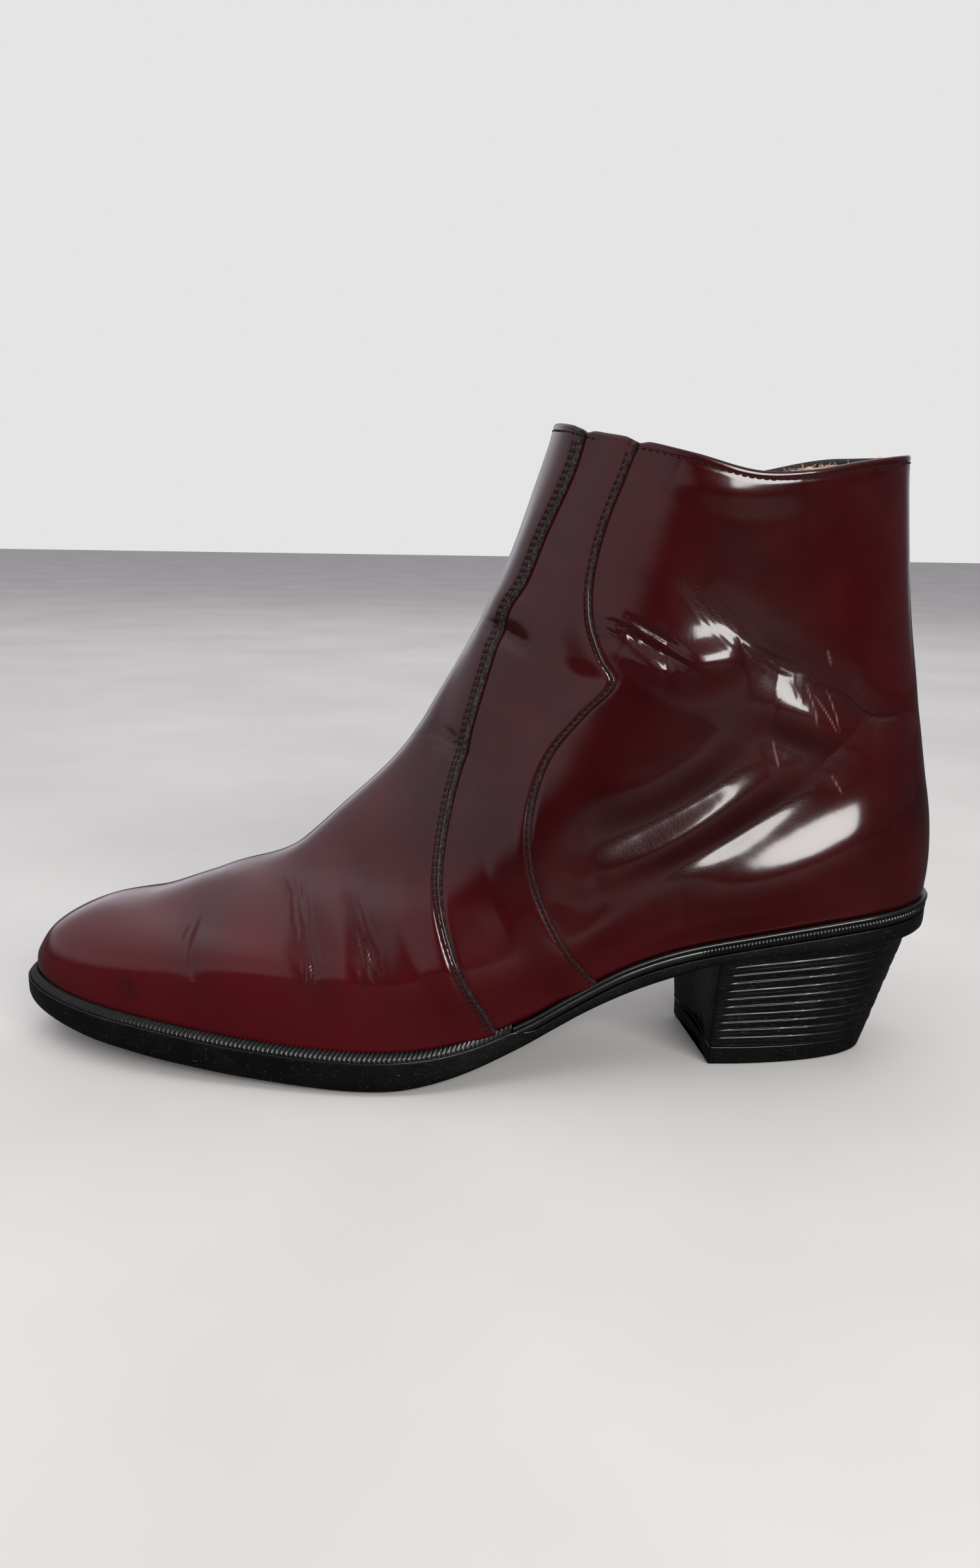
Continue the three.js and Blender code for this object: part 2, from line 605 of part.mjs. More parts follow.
function buildSlider() {
  const y0 = SLIDER_Y - SLIDER_LENGTH / 2;
  const y1 = SLIDER_Y + SLIDER_LENGTH / 2;
  const topPlate = zipBox(-4.1, 4.1, y0, y1, 0.2, 1.4);
  const underPlate = zipBox(-3.4, 3.4, y0, y1, -3.1, -2.2);
  const post = zipBox(-0.55, 0.55, y1 - 2.6, y1 - 0.4, -2.5, 0.5);
  const arch = zipBox(-1.1, 1.1, SLIDER_Y - 3, SLIDER_Y + 3, 1.2, 4.1);
  const eye = zipBox(-2, 2, SLIDER_Y - 2, SLIDER_Y + 2, 1.4, 3.3);
  add("zip_slider", topPlate.add(underPlate).add(post).add(arch.subtract(eye)), brassy());

  const [low, high] = [PIVOT_HEIGHT - 0.5, PIVOT_HEIGHT + 0.5];
  const blade = zipBox(-3.2, 3.2, SLIDER_Y - 24, SLIDER_Y + 0.6, low, high);
  const window = zipBox(-1.5, 1.5, SLIDER_Y - 5, SLIDER_Y - 0.6, low - 1, high + 1);
  add("zip_pull", blade.subtract(window), brassy());
}

buildUpper();
buildStiffeners();
buildLining();
buildBottom();
buildHeel();
buildZip();
buildSlider();

// The boot is moved so that its box is centred over the origin and stands on the ground.
const bounds = new THREE.Box3().setFromObject(boot);
const centre = bounds.getCenter(new THREE.Vector3());
const toOrigin = new THREE.Vector3(-centre.x, -centre.y, -bounds.min.z);
boot.position.copy(toOrigin);

export default boot;
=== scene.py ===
"""Left ankle boot with a Cuban heel and an inside zip: its visible surfaces, built round the CAD frame.

The boot is drawn in millimetres in the frame of its own side view: x towards the heel, z up, y towards the
inner side of the foot. make_mesh() turns that into metres in the row frame.
"""
import math

import bmesh
import bpy
import numpy as np
from mathutils import Matrix, Vector


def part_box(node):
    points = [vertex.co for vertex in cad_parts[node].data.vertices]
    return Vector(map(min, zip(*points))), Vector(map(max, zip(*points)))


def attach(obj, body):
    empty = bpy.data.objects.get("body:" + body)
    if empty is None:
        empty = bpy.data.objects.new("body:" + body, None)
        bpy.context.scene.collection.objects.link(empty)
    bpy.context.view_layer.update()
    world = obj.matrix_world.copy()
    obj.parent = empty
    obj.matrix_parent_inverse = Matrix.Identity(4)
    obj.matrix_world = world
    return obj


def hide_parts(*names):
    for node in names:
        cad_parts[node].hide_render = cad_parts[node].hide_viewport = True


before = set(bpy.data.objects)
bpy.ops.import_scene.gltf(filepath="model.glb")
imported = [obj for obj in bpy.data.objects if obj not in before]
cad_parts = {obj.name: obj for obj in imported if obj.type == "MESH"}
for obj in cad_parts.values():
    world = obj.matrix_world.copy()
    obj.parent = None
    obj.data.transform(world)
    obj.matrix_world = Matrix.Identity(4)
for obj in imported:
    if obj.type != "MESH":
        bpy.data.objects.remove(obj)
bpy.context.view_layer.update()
random = np.random.default_rng(7)

# -------------------------------- the boot's driving dimensions, as in the CAD
OUTER, INNER = -1, 1
LEATHER = 1.5
TOE_X, BACK_X, BREAST_X = -153.5, 143, 70
SCREW_X = 112
WELT_END_X = 8
TOE_SWING = 5
ROUNDNESS = 0.9
RIDGE = [
    (TOE_X, 22), (-152.6, 29), (-146, 38), (-131, 46), (-111, 50.3), (-89, 58.3), (-67, 65.5), (-48, 81.3),
    (-29, 100), (-15, 122), (-4, 142), (4.5, 161), (12.5, 184), (18.5, 202),
]
BACK = [
    (BACK_X, 56), (143.8, 68), (142.8, 82), (139.8, 98), (135.2, 124), (131.2, 148),
    (128.6, 172), (126.5, 194),
]
FEATHER = [
    (TOE_X, 22), (-138, 19.5), (-110, 17), (-66, 13.2), (-24, 12.4), (-4, 15.5), (13, 22), (26, 29),
    (43, 37.5), (61, 43.5), (86, 48.5), (114, 53), (BACK_X, 56),
]
SOLE_BOTTOM = [
    (-156, 14), (-137, 9), (-112, 5.5), (-86, 3), (-60, 1), (-38, 0), (-24, 0.6), (-8, 4.4), (8, 10.8),
    (22, 18.2), (31, 23), (45, 29), (58, 33.6), (73, 38), (100, 41.2), (145, 45),
]
TOPLINE = {
    OUTER: [
        (18.5, 202), (30, 198.5), (43, 195.5), (57, 192), (74, 187.6), (90, 188), (108, 191.2), (126.5, 194),
    ],
    INNER: [(18.5, 202), (43, 197.5), (74, 194.5), (100, 194), (126.5, 194)],
}
FRONT_SEAM = [
    (28, 206), (24, 189), (15, 168), (10, 155), (4, 144), (-2, 125), (-8, 103), (-13, 81), (-14, 62),
    (-9, 43), (0, 25), (9, 6),
]
REAR_SEAM = [
    (44, 204), (38, 187), (32, 170), (29, 155), (29.5, 143), (33, 133), (36.5, 126.5), (28, 117), (18, 104),
    (13, 88), (13, 72), (18, 57), (27, 42), (40, 26),
]
COLUMNS = [0, 0.1, 0.25, 0.4, 0.55, 0.7, 0.85, 1]
ROWS = [0, 0.13, 0.35, 0.6, 0.8, 1]
HALF_WIDTH = {
    OUTER: [
        [41, 44, 44.5, 44.5, 37.5, 34, 40, 54],
        [41, 45.5, 46.5, 46, 41, 37.5, 42.5, 51],
        [30, 36, 41, 39.5, 37, 36.5, 38, 42],
        [26, 31, 35, 36, 36, 35, 33.5, 34],
        [26, 30, 33, 34.5, 35, 34, 32, 31],
        [27, 30, 33, 34.5, 35, 34, 32, 31],
    ],
    INNER: [
        [41, 40.5, 43, 45, 35, 30.5, 38, 54],
        [41, 43, 45.5, 46, 38, 34.5, 40.5, 51],
        [30, 35, 39.5, 38, 36, 35.8, 37, 42],
        [26, 31, 34.5, 35.5, 35.5, 34.8, 33, 34],
        [26, 30, 33, 34.3, 34.8, 34, 32, 31],
        [27, 30, 33, 34.2, 34.6, 33.8, 32, 31],
    ],
}
SOLE_EDGE = [(0, 3), (0.3, 3), (0.45, 2.6), (0.55, 1), (0.7, 0.8), (0.85, 1), (1, 1)]
ZIP_TOP, ZIP_BOTTOM = (79, 189), (64, 78)

screw_low, screw_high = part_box("heel_screw")
screw_mid = (screw_low + screw_high) / 2
SHIFT = np.array([screw_mid.x * 1000 - SCREW_X, screw_mid.y * 1000, 0.0])  # drawing frame to row frame


# -------------------------------- curves
def slopes(xs, ys):
    """The slope at each knot, from its neighbours."""
    knots = np.arange(len(xs))
    left, right = np.maximum(knots - 1, 0), np.minimum(knots + 1, len(xs) - 1)
    return (ys[right] - ys[left]) / (xs[right] - xs[left]).reshape(-1, *[1] * (ys.ndim - 1))


def hermite(t, gap, start, end, start_slope, end_slope):
    """A smooth value at share t of a gap between two knots."""
    bend = (start_slope * (1 - t) ** 2 * t - end_slope * t**2 * (1 - t)) * gap
    return start * (1 - t) ** 2 * (1 + 2 * t) + end * t**2 * (3 - 2 * t) + bend


def through(pairs):
    """A smooth function through (x, y) pairs whose x rises."""
    xs, ys = np.array(pairs, float).T
    slope = slopes(xs, ys)

    def value(x):
        x = np.asarray(x, float)
        i = np.clip(np.searchsorted(xs, x) - 1, 0, len(xs) - 2)
        gap = xs[i + 1] - xs[i]
        return hermite(np.clip((x - xs[i]) / gap, 0, 1), gap, ys[i], ys[i + 1], slope[i], slope[i + 1])

    return value


def path(points):
    """A smooth path through points, as a function of the share of its length."""
    points = np.array(points, float)
    reach = np.r_[0, np.cumsum(np.linalg.norm(np.diff(points, axis=0), axis=1))]
    along = [through(list(zip(reach / reach[-1], axis))) for axis in points.T]
    return lambda u: np.stack([f(u) for f in along], -1)


def smooth(t):
    t = np.clip(t, 0, 1)
    return t * t * (3 - 2 * t)


def mix(a, b, t):
    return a + (b - a) * t


def unit(v):
    return v / np.maximum(np.linalg.norm(v, axis=-1, keepdims=True), 1e-12)


ridge, back = path(RIDGE), path(BACK)
feather_z, sole_bottom_z = through(FEATHER), through(SOLE_BOTTOM)
topline_z = {side: through(TOPLINE[side]) for side in (OUTER, INNER)}
sole_edge = through(SOLE_EDGE)
width_rows = {side: [through(list(zip(COLUMNS, row))) for row in HALF_WIDTH[side]] for side in (OUTER, INNER)}


# -------------------------------- the upper's surface
def half_width(s, v, side):
    rows, knots = np.array([f(s) for f in width_rows[side]]), np.array(ROWS, float)
    i = np.clip(np.searchsorted(knots, v) - 1, 0, len(knots) - 2)
    tables = (rows, slopes(knots, rows))
    ends = [np.take_along_axis(table, (i + k)[None], 0)[0] for table in tables for k in (0, 1)]
    gap = knots[i + 1] - knots[i]
    value = hermite(np.clip((v - knots[i]) / gap, 0, 1), gap, *ends)
    return value * (4 * s * (1 - s)) ** (ROUNDNESS / 2)


def side_point(s, v, side):
    """Points of the upper on one side, at shares s from toe to back and v up from the feather line."""
    front, rear = ridge(v), back(v)
    low, high = mix(TOE_X, BACK_X, s), mix(RIDGE[-1][0], BACK[-1][0], s)
    bottom = np.stack([low, feather_z(low)], -1)
    top = np.stack([high, topline_z[side](high)], -1)
    s2, v2 = s[..., None], v[..., None]
    low_front, low_back, high_front, high_back = np.array([RIDGE[0], BACK[0], RIDGE[-1], BACK[-1]], float)
    corners = mix(mix(low_front, low_back, s2), mix(high_front, high_back, s2), v2)
    xz = mix(front, rear, s2) + mix(bottom, top, v2) - corners
    swing = TOE_SWING * np.clip((-10 - xz[..., 0]) / (-10 - TOE_X), 0, 1) ** 1.5
    return np.stack([xz[..., 0], swing + side * half_width(s, v, side), xz[..., 1]], -1)


def loop_point(angle, v):
    """Points of the upper by angle: 0 at the ridge, pi at the back, the outer side between them."""
    angle, v = np.broadcast_arrays(np.asarray(angle, float), np.clip(v, 0, 1))
    s = np.clip((1 - np.cos(angle)) / 2, 0, 1)
    outer = (np.sin(angle) >= 0)[..., None]
    return np.where(outer, side_point(s, v, OUTER), side_point(s, v, INNER))


def loop_normal(angle, v, step=0.003):
    around = loop_point(angle + step, v) - loop_point(angle - step, v)
    up = loop_point(angle, v + step) - loop_point(angle, v - step)
    return unit(np.cross(around, up))


def find_on_side(xz, side):
    """The (angle, v) of points seen at (x, z) from the side."""
    xz = np.asarray(xz, float)
    s, v = np.full(len(xz), 0.5), np.full(len(xz), 0.5)
    step = 1e-4
    flat = lambda a, b: side_point(a, b, side)[..., [0, 2]]
    for _ in range(40):
        p = flat(s, v)
        ps, pv = (flat(s + step, v) - p) / step, (flat(s, v + step) - p) / step
        d = xz - p
        det = ps[:, 0] * pv[:, 1] - pv[:, 0] * ps[:, 1]
        s = np.clip(s + (d[:, 0] * pv[:, 1] - d[:, 1] * pv[:, 0]) / det, 0.001, 0.999)
        v = np.clip(v + (ps[:, 0] * d[:, 1] - ps[:, 1] * d[:, 0]) / det, 0, 0.9999)
    return -side * np.arccos(1 - 2 * s), v


def seam_angle(points, side, shift=0.0, samples=160):
    """A seam drawn in the side view, as its angle for any v."""
    line = path(points)(np.linspace(0, 1, samples)) + np.array([shift, 0])
    angle, v = find_on_side(line, side)
    inside = (v > 0.004) & (v < 0.996)
    angle, v = angle[inside], v[inside]
    order = np.argsort(v)
    angle, v = angle[order], v[order]
    lean = lambda i, j: (angle[j] - angle[i]) / (v[j] - v[i])
    a0 = angle[0] - v[0] * lean(0, 3)
    a1 = angle[-1] + (1 - v[-1]) * lean(-4, -1)
    return lambda w: np.interp(w, np.r_[0, v, 1], np.r_[a0, angle, a1])


# -------------------------------- creases and folds
# Each fold is a line in the side view, its half width and its height, which is negative for a valley.
VAMP_FOLDS = [
    ([(-89, 60), (-91, 48), (-92, 42), (-91, 30)], 5.5, -0.7),
    ([(-90, 53), (-91.5, 46), (-92.5, 40), (-91, 33)], 0.8, -0.45),
    ([(-76, 62), (-75, 50), (-74, 38)], 9, 0.8),
    ([(-64, 68), (-59, 59), (-55, 48), (-52, 37), (-54, 24)], 5, -1.0),
    ([(-50, 66), (-46, 54), (-43, 42), (-42, 30)], 6, 0.5),
    ([(-44, 70), (-37, 54), (-33, 43), (-30, 33)], 6, -0.5),
    ([(-114, 31), (-113.5, 27), (-112.5, 22)], 0.8, -0.25),
    ([(-4, 142), (4, 139), (12, 134)], 3.2, -1.1),
    ([(-2, 149), (6, 148), (14, 143)], 4.5, 0.6),
    ([(-20, 110), (-13, 106), (-5, 101)], 3.6, -0.9),
]
QUARTER_FOLDS = [
    ([(30, 66), (52, 77), (67, 87), (86, 101)], 5.5, 2.1),
    ([(56, 59), (76, 63), (97, 71), (124, 86)], 10, 3.3),
    ([(82, 119), (94, 117), (105, 106)], 9, 3.3),
    ([(58, 156), (68, 145), (80, 135), (93, 128), (106, 123), (115, 116), (130, 116)], 6, -1.3),
    ([(95, 128), (106, 122.5), (115.5, 116), (130, 116.5)], 1.1, -0.8),
    ([(48, 69), (68, 78), (84, 88), (99, 98)], 3.8, -1.3),
    ([(28, 78), (48, 87), (67, 98), (76, 110)], 6, -1.3),
    ([(30, 92), (48, 95), (62, 105), (68, 116)], 7, 1.0),
    ([(76, 115), (90, 109), (108, 103)], 4.5, -1.1),
    ([(38, 141.5), (46, 137.5), (53, 134), (59, 131)], 1.5, -1.2),
    ([(39, 146), (46, 142), (53, 138), (58, 135)], 0.9, -0.5),
    ([(37, 136), (47, 131), (57, 126)], 3, 0.8),
    ([(50, 133), (62, 133), (74, 137)], 6.5, 3.0),
    ([(50, 187), (62, 182.5), (75, 181), (90, 183)], 5, 0.95),
    ([(36, 40), (59, 51), (83, 56), (112, 60)], 3.5, 0.8),
]
# Pale scratches on the outer side.
SCRATCH_WIDTH, SCRATCH_DEPTH = 0.17, 0.06
SCRATCHES = [
    [(93, 127), (96, 114)], [(95, 124), (99, 118), (103, 112)], [(100, 125), (104, 112)],
    [(99, 137), (101, 132)], [(84, 110), (86, 102)], [(103, 99), (107, 93)], [(88, 129), (91, 120)],
]
# Each bundle of fine wrinkles: its middle line, spread, number of lines, half width and depth.
WRINKLES = [
    ([(-91, 55), (-92, 44), (-91.5, 34)], 2.2, 7, 0.5, 0.2),
    ([(-66, 66), (-59, 60), (-55, 48), (-52.5, 37), (-54, 26)], 4.5, 30, 0.55, 0.24),
    ([(-42, 62), (-37, 51), (-33, 42), (-31, 33)], 6, 18, 0.55, 0.14),
    ([(-26, 104), (-16, 106), (-4, 102)], 3, 10, 0.5, 0.18),
    ([(-6, 141), (4, 139), (14, 134)], 3, 8, 0.5, 0.18),
    ([(30, 145), (39, 142.5), (46, 138), (56, 131)], 2.6, 16, 0.5, 0.28),
    ([(44, 164), (57, 155), (68, 143), (80, 134), (93, 128), (106, 122)], 3.2, 24, 0.5, 0.13),
    ([(92, 128), (106, 122), (116, 116), (130, 116)], 2.6, 14, 0.45, 0.26),
]


def line_distance(points, line):
    """Distance of (x, z) points from a line, and the share of the line's length where it is nearest."""
    line = np.asarray(line, float)
    reach = np.r_[0, np.cumsum(np.linalg.norm(np.diff(line, axis=0), axis=1))]
    best, share = np.full(len(points), 1e9), np.zeros(len(points))
    for k in range(len(line) - 1):
        a, d = line[k], line[k + 1] - line[k]
        t = np.clip(((points - a) @ d) / (d @ d), 0, 1)
        gap = np.linalg.norm(points - a - t[:, None] * d, axis=1)
        nearer = gap < best
        best[nearer] = gap[nearer]
        share[nearer] = ((reach[k] + t * (reach[k + 1] - reach[k])) / reach[-1])[nearer]
    return best, share


def wrinkle_lines():
    """All fine wrinkles as separate wandering lines with their own width and depth."""
    lines = []
    for middle, spread, count, width, depth in WRINKLES:
        whole = path(middle)
        for _ in range(count):
            start = random.uniform(0, 0.7)
            end = min(1, start + random.uniform(0.2, 0.5))
            u = np.linspace(start, end, 9)
            line = whole(u)
            across = unit(np.gradient(line, axis=0))[:, ::-1] * np.array([-1, 1])
            wander = random.normal(0, spread * 0.5) + np.cumsum(random.normal(0, 0.28, len(u)))
            sizes = width * random.uniform(0.7, 1.4), depth * random.uniform(0.4, 1.2)
            lines.append((line + across * wander[:, None], *sizes))
    return lines


FINE_LINES = wrinkle_lines()


def bell(distance, width):
    return np.exp(-((distance / width) ** 2))


def around_line(flat, line, margin):
    """Indices of the points in the box round a line."""
    return np.flatnonzero(((flat > line.min(0) - margin) & (flat < line.max(0) + margin)).all(1))


def relief(points, angle):
    """Height of the leather over its plain surface at each point, and how wrinkled and scratched it is."""
    flat = points.reshape(-1, 3)[:, [0, 2]]
    outer = (np.sin(angle) >= 0).ravel()
    height, wrinkled, scratched = np.zeros((3, len(flat)))
    zip_gap, _ = line_distance(flat, [(ZIP_BOTTOM[0] - 1, ZIP_BOTTOM[1] - 8), ZIP_TOP])
    calm = np.where(outer, 1.0, 0.75 * smooth((zip_gap - 8) / 14))
    for line, width, rise in VAMP_FOLDS + QUARTER_FOLDS:
        gap, share = line_distance(flat, path(line)(np.linspace(0, 1, 14)))
        taper = np.sin(np.pi * np.clip(share, 0.04, 0.96)) ** 0.7
        height += rise * taper * bell(gap, width)
        if rise < 0:
            wrinkled = np.maximum(wrinkled, taper * bell(gap, width + 3))
    for line, width, depth in FINE_LINES:
        near = around_line(flat, line, 4 * width)
        if len(near):
            gap, share = line_distance(flat[near], line)
            taper = np.sin(np.pi * np.clip(share, 0.02, 0.98))
            height[near] -= depth * taper * (bell(gap, width) - 0.45 * bell(gap, 2.2 * width))
            wrinkled[near] = np.maximum(wrinkled[near], 0.8 * taper * bell(gap, 2))
    for line in SCRATCHES:
        line = np.array(line, float)
        near = around_line(flat, line, 1)
        near = near[outer[near]]
        if len(near):
            gap, share = line_distance(flat[near], line)
            mark = np.sin(np.pi * share) ** 0.5 * bell(gap, SCRATCH_WIDTH)
            scratched[near] = np.maximum(scratched[near], mark)
    return [(values * calm).reshape(points.shape[:-1]) for values in (height, wrinkled, scratched)]


# -------------------------------- meshes
def make_mesh(name, points, faces, material, body="boot", smooth_shade=True):
    """An object from points in the drawing frame, and groups of faces with equally many corners."""
    points = (np.asarray(points, float).reshape(-1, 3) + SHIFT) / 1000
    groups = [np.asarray(group, np.int32) for group in (faces if isinstance(faces, list) else [faces])]
    corners = np.concatenate([group.ravel() for group in groups])
    sizes = np.concatenate([np.full(len(group), group.shape[1], np.int32) for group in groups])
    mesh = bpy.data.meshes.new(name)
    mesh.vertices.add(len(points))
    mesh.vertices.foreach_set("co", points.astype(np.float32).ravel())
    mesh.loops.add(len(corners))
    mesh.loops.foreach_set("vertex_index", corners)
    mesh.polygons.add(len(sizes))
    mesh.polygons.foreach_set("loop_start", (np.cumsum(sizes) - sizes).astype(np.int32))
    mesh.polygons.foreach_set("use_smooth", np.full(len(sizes), smooth_shade))
    mesh.update(calc_edges=True)
    mesh.validate()
    obj = bpy.data.objects.new(name, mesh)
    bpy.context.scene.collection.objects.link(obj)
    mesh.materials.append(material)
    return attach(obj, body)


def grid_faces(rows, columns, first=0, wrap=False, flip=False):
    i, j = np.meshgrid(np.arange(rows - 1), np.arange(columns if wrap else columns - 1), indexing="ij")
    a, b = i * columns + j, i * columns + (j + 1) % columns
    quads = np.stack([a, b, b + columns, a + columns], -1).reshape(-1, 4) + first
    return quads[:, ::-1] if flip else quads


def set_attribute(obj, name, values):
    attribute = obj.data.attributes.new(name, "FLOAT", "POINT")
    attribute.data.foreach_set("value", np.asarray(values, np.float32).ravel())


def recalculate(obj):
    """Turns all faces outwards."""
    bm = bmesh.new()
    bm.from_mesh(obj.data)
    bmesh.ops.recalc_face_normals(bm, faces=bm.faces)
    bm.to_mesh(obj.data)
    bm.free()


def stands_for(obj, slot_name, *nodes):
    """Hides the CAD nodes that a piece replaces. slot_name is not used."""
    if nodes:
        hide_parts(*nodes)
    return obj


# -------------------------------- materials
class Shader:
    """A Principled material that is wired by socket names."""

    def __init__(self, name, **constants):
        self.material = bpy.data.materials.new(name)
        self.material.use_nodes = True
        self.tree = self.material.node_tree
        self.surface = self.tree.nodes["Principled BSDF"]
        self.place = self.tree.nodes.new("ShaderNodeTexCoord").outputs["Object"]
        for socket, value in constants.items():
            self.surface.inputs[socket.replace("_", " ")].default_value = value

    def add(self, kind, settings=(), **inputs):
        node = self.tree.nodes.new("ShaderNode" + kind)
        for key, value in dict(settings).items():
            setattr(node, key, value)
        for socket, value in inputs.items():
            target = node.inputs[int(socket[1:])] if socket[0] == "_" else node.inputs[socket]
            if isinstance(value, bpy.types.NodeSocket):
                self.tree.links.new(value, target)
            else:
                target.default_value = value
        return node

    def noise(self, scale, detail=3.0, stretch=(1, 1, 1), distortion=0.0, roughness=0.5):
        at = self.place
        if stretch != (1, 1, 1):
            at = self.add("Mapping", Vector=at, Scale=stretch).outputs[0]
        inputs = {"Scale": scale, "Detail": detail, "Distortion": distortion, "Roughness": roughness}
        return self.add("TexNoise", Vector=at, **inputs).outputs["Fac"]

    def cells(self, scale):
        return self.add("TexVoronoi", Vector=self.place, Scale=scale).outputs["Distance"]

    def between(self, value, low, high, to_low=0.0, to_high=1.0):
        """value from low to high, mapped to a new range and held at its ends."""
        return self.add("MapRange", _0=value, _1=low, _2=high, _3=to_low, _4=to_high).outputs[0]

    def math(self, operation, a, b=0.0):
        return self.add("Math", {"operation": operation}, _0=a, _1=b).outputs[0]

    def blend(self, share, a, b, how="MIX"):
        node = self.tree.nodes.new("ShaderNodeMix")
        node.data_type = "RGBA"
        node.blend_type = how
        for socket, value in zip((node.inputs[0], node.inputs[6], node.inputs[7]), (share, a, b)):
            if isinstance(value, bpy.types.NodeSocket):
                self.tree.links.new(value, socket)
            else:
                socket.default_value = value if socket is node.inputs[0] else (*value, 1)
        return node.outputs[2]

    def attribute(self, name):
        return self.add("Attribute", {"attribute_name": name}).outputs["Fac"]

    def bump(self, height, depth_mm, strength=1.0, below=None):
        node = self.add("Bump", Strength=strength, Distance=depth_mm / 1000, Height=height)
        if below is not None:
            self.tree.links.new(below, node.inputs["Normal"])
        return node.outputs[0]

    def finish(self, color=None, roughness=None, normal=None, coat_normal=None):
        sockets = {"Base Color": color, "Roughness": roughness, "Normal": normal, "Coat Normal": coat_normal}
        for socket, value in sockets.items():
            if value is not None:
                self.tree.links.new(value, self.surface.inputs[socket])
        return self.material


def leather_material(name, base, dark, brown):
    """Polished leather with uneven dye, fine grain, creases that are rougher and darkened with painted shade,
    and a raw black edge.
    """
    m = Shader(name, Coat_Roughness=0.13, Coat_IOR=1.52, IOR=1.45, Specular_IOR_Level=0.15)
    crease, edge, tone, raw, scratch = [m.attribute(a) for a in ("crease", "edge", "tone", "raw", "scratch")]
    clouds = m.math("ADD", m.between(m.noise(16, 4, roughness=0.55), 0.3, 0.7, -0.22, 0.22), tone)
    color = m.blend(m.between(clouds, 0.0, 1.0), dark, base)
    color = m.blend(m.math("MULTIPLY", m.between(m.noise(48, 4), 0.5, 0.75), 0.22), color, brown)
    # Painted shade: the colour darkens towards the dark dye in the creases and in the valleys of the folds.
    color = m.blend(m.math("MULTIPLY", crease, 0.5), color, dark)
    scuffs = m.between(m.noise(420, 2, (1, 1, 0.12), 0.6), 0.68, 0.74)
    color = m.blend(m.math("MULTIPLY", scuffs, 0.12), color, brown)
    color = m.blend(m.math("MULTIPLY", scratch, 0.6), color, (0.26, 0.16, 0.15))
    color = m.blend(edge, color, (0.01, 0.004, 0.005))
    nap = m.between(m.noise(1100, 5, roughness=0.75), 0.45, 0.66)
    suede = m.blend(nap, (0.006, 0.005, 0.005), (0.05, 0.043, 0.04))
    color = m.blend(raw, color, suede)
    haze = m.between(m.noise(30, 4), 0.3, 0.7, 0.16, 0.27)
    worn = m.math("ADD", haze, m.math("MULTIPLY", crease, 0.14))
    roughness = m.math("ADD", worn, m.math("MULTIPLY", m.math("ADD", edge, raw), 0.4))
    bare = m.math("MAXIMUM", raw, m.math("MULTIPLY", scratch, 0.6))
    m.tree.links.new(m.between(bare, 0, 1, 1, 0), m.surface.inputs["Coat Weight"])
    pores = m.between(m.cells(1500), 0.0, 0.5)
    grain = m.math("ADD", m.math("MULTIPLY", m.noise(700, 4), 0.6), m.math("MULTIPLY", pores, 0.4))
    waves = m.bump(m.noise(260, 2), 0.05, 0.25)
    depth = m.math("ADD", m.math("MULTIPLY", m.math("MAXIMUM", crease, raw), 0.85), 0.12)
    fine = m.add("Bump", Strength=depth, Distance=0.00012, Height=grain, Normal=waves).outputs[0]
    return m.finish(color, roughness, fine, waves)


def rubber_material(name, shine, scuffing=0.5):
    """Black moulded sole: semi-gloss, with dust, thin scratches and rubbed patches."""
    m = Shader(name, Coat_Weight=shine, Coat_Roughness=0.13, IOR=1.5, Specular_IOR_Level=0.25)
    scratches = m.between(m.noise(330, 3, (1, 1, 6), 1.2), 0.63, 0.7)
    rubbed = m.between(m.noise(55, 5), 0.48, 0.72)
    color = m.blend(m.math("MULTIPLY", rubbed, 0.5), (0.0016, 0.0017, 0.0016), (0.006, 0.006, 0.0057))
    color = m.blend(m.math("MULTIPLY", scratches, scuffing * 0.35), color, (0.06, 0.055, 0.05))
    dust = m.between(m.noise(1300, 2), 0.66, 0.74)
    color = m.blend(m.math("MULTIPLY", dust, 0.25), color, (0.12, 0.11, 0.1))
    roughness = m.between(m.noise(80, 5), 0.3, 0.7, 0.24, 0.44)
    relief_height = m.math("ADD", m.noise(900, 4), m.math("MULTIPLY", scratches, -0.6))
    return m.finish(color, roughness, m.bump(relief_height, 0.05, 0.5, m.bump(m.noise(140, 2), 0.25, 0.35)))


def pile_material(name, base, shade, light):
    """Peach sheepskin pile: matted tufts with painted shade in the hollows between them, and paler patches.
    """
    m = Shader(name, Sheen_Weight=0.6, Sheen_Roughness=0.4, Roughness=0.95)
    tufts = m.noise(260, 5, distortion=0.8)
    # Painted shade: the colour is darker where the tufts' bump is low.
    color = m.blend(m.between(tufts, 0.3, 0.6), shade, base)
    color = m.blend(m.between(m.noise(45, 3), 0.5, 0.75), color, light)
    height = m.math("ADD", tufts, m.math("MULTIPLY", m.noise(1100, 3, distortion=1.5), 0.5))
    return m.finish(color, normal=m.bump(height, 1.2, 0.9))


def thread_material(name, base, dark):
    m = Shader(name, Roughness=0.7, Specular_IOR_Level=0.3)
    twist = m.noise(1600, 2, (1, 1, 0.3))
    # Painted shade: the thread is darker where its twist's bump is low.
    return m.finish(m.blend(m.between(twist, 0.4, 0.62), dark, base), normal=m.bump(twist, 0.1, 0.7))


def metal_material(name, bright, dull, low=0.2, high=0.5):
    """Metal that has dulled and darkened unevenly."""
    m = Shader(name, Metallic=1.0)
    patina = m.between(m.noise(240, 5), 0.38, 0.66)
    scratches = m.noise(900, 2, (1, 1, 0.08))
    return m.finish(
        m.blend(patina, bright, dull),
        m.between(m.math("ADD", patina, m.math("MULTIPLY", scratches, 0.4)), 0.0, 1.4, low, high),
        m.bump(scratches, 0.03, 0.4),
    )


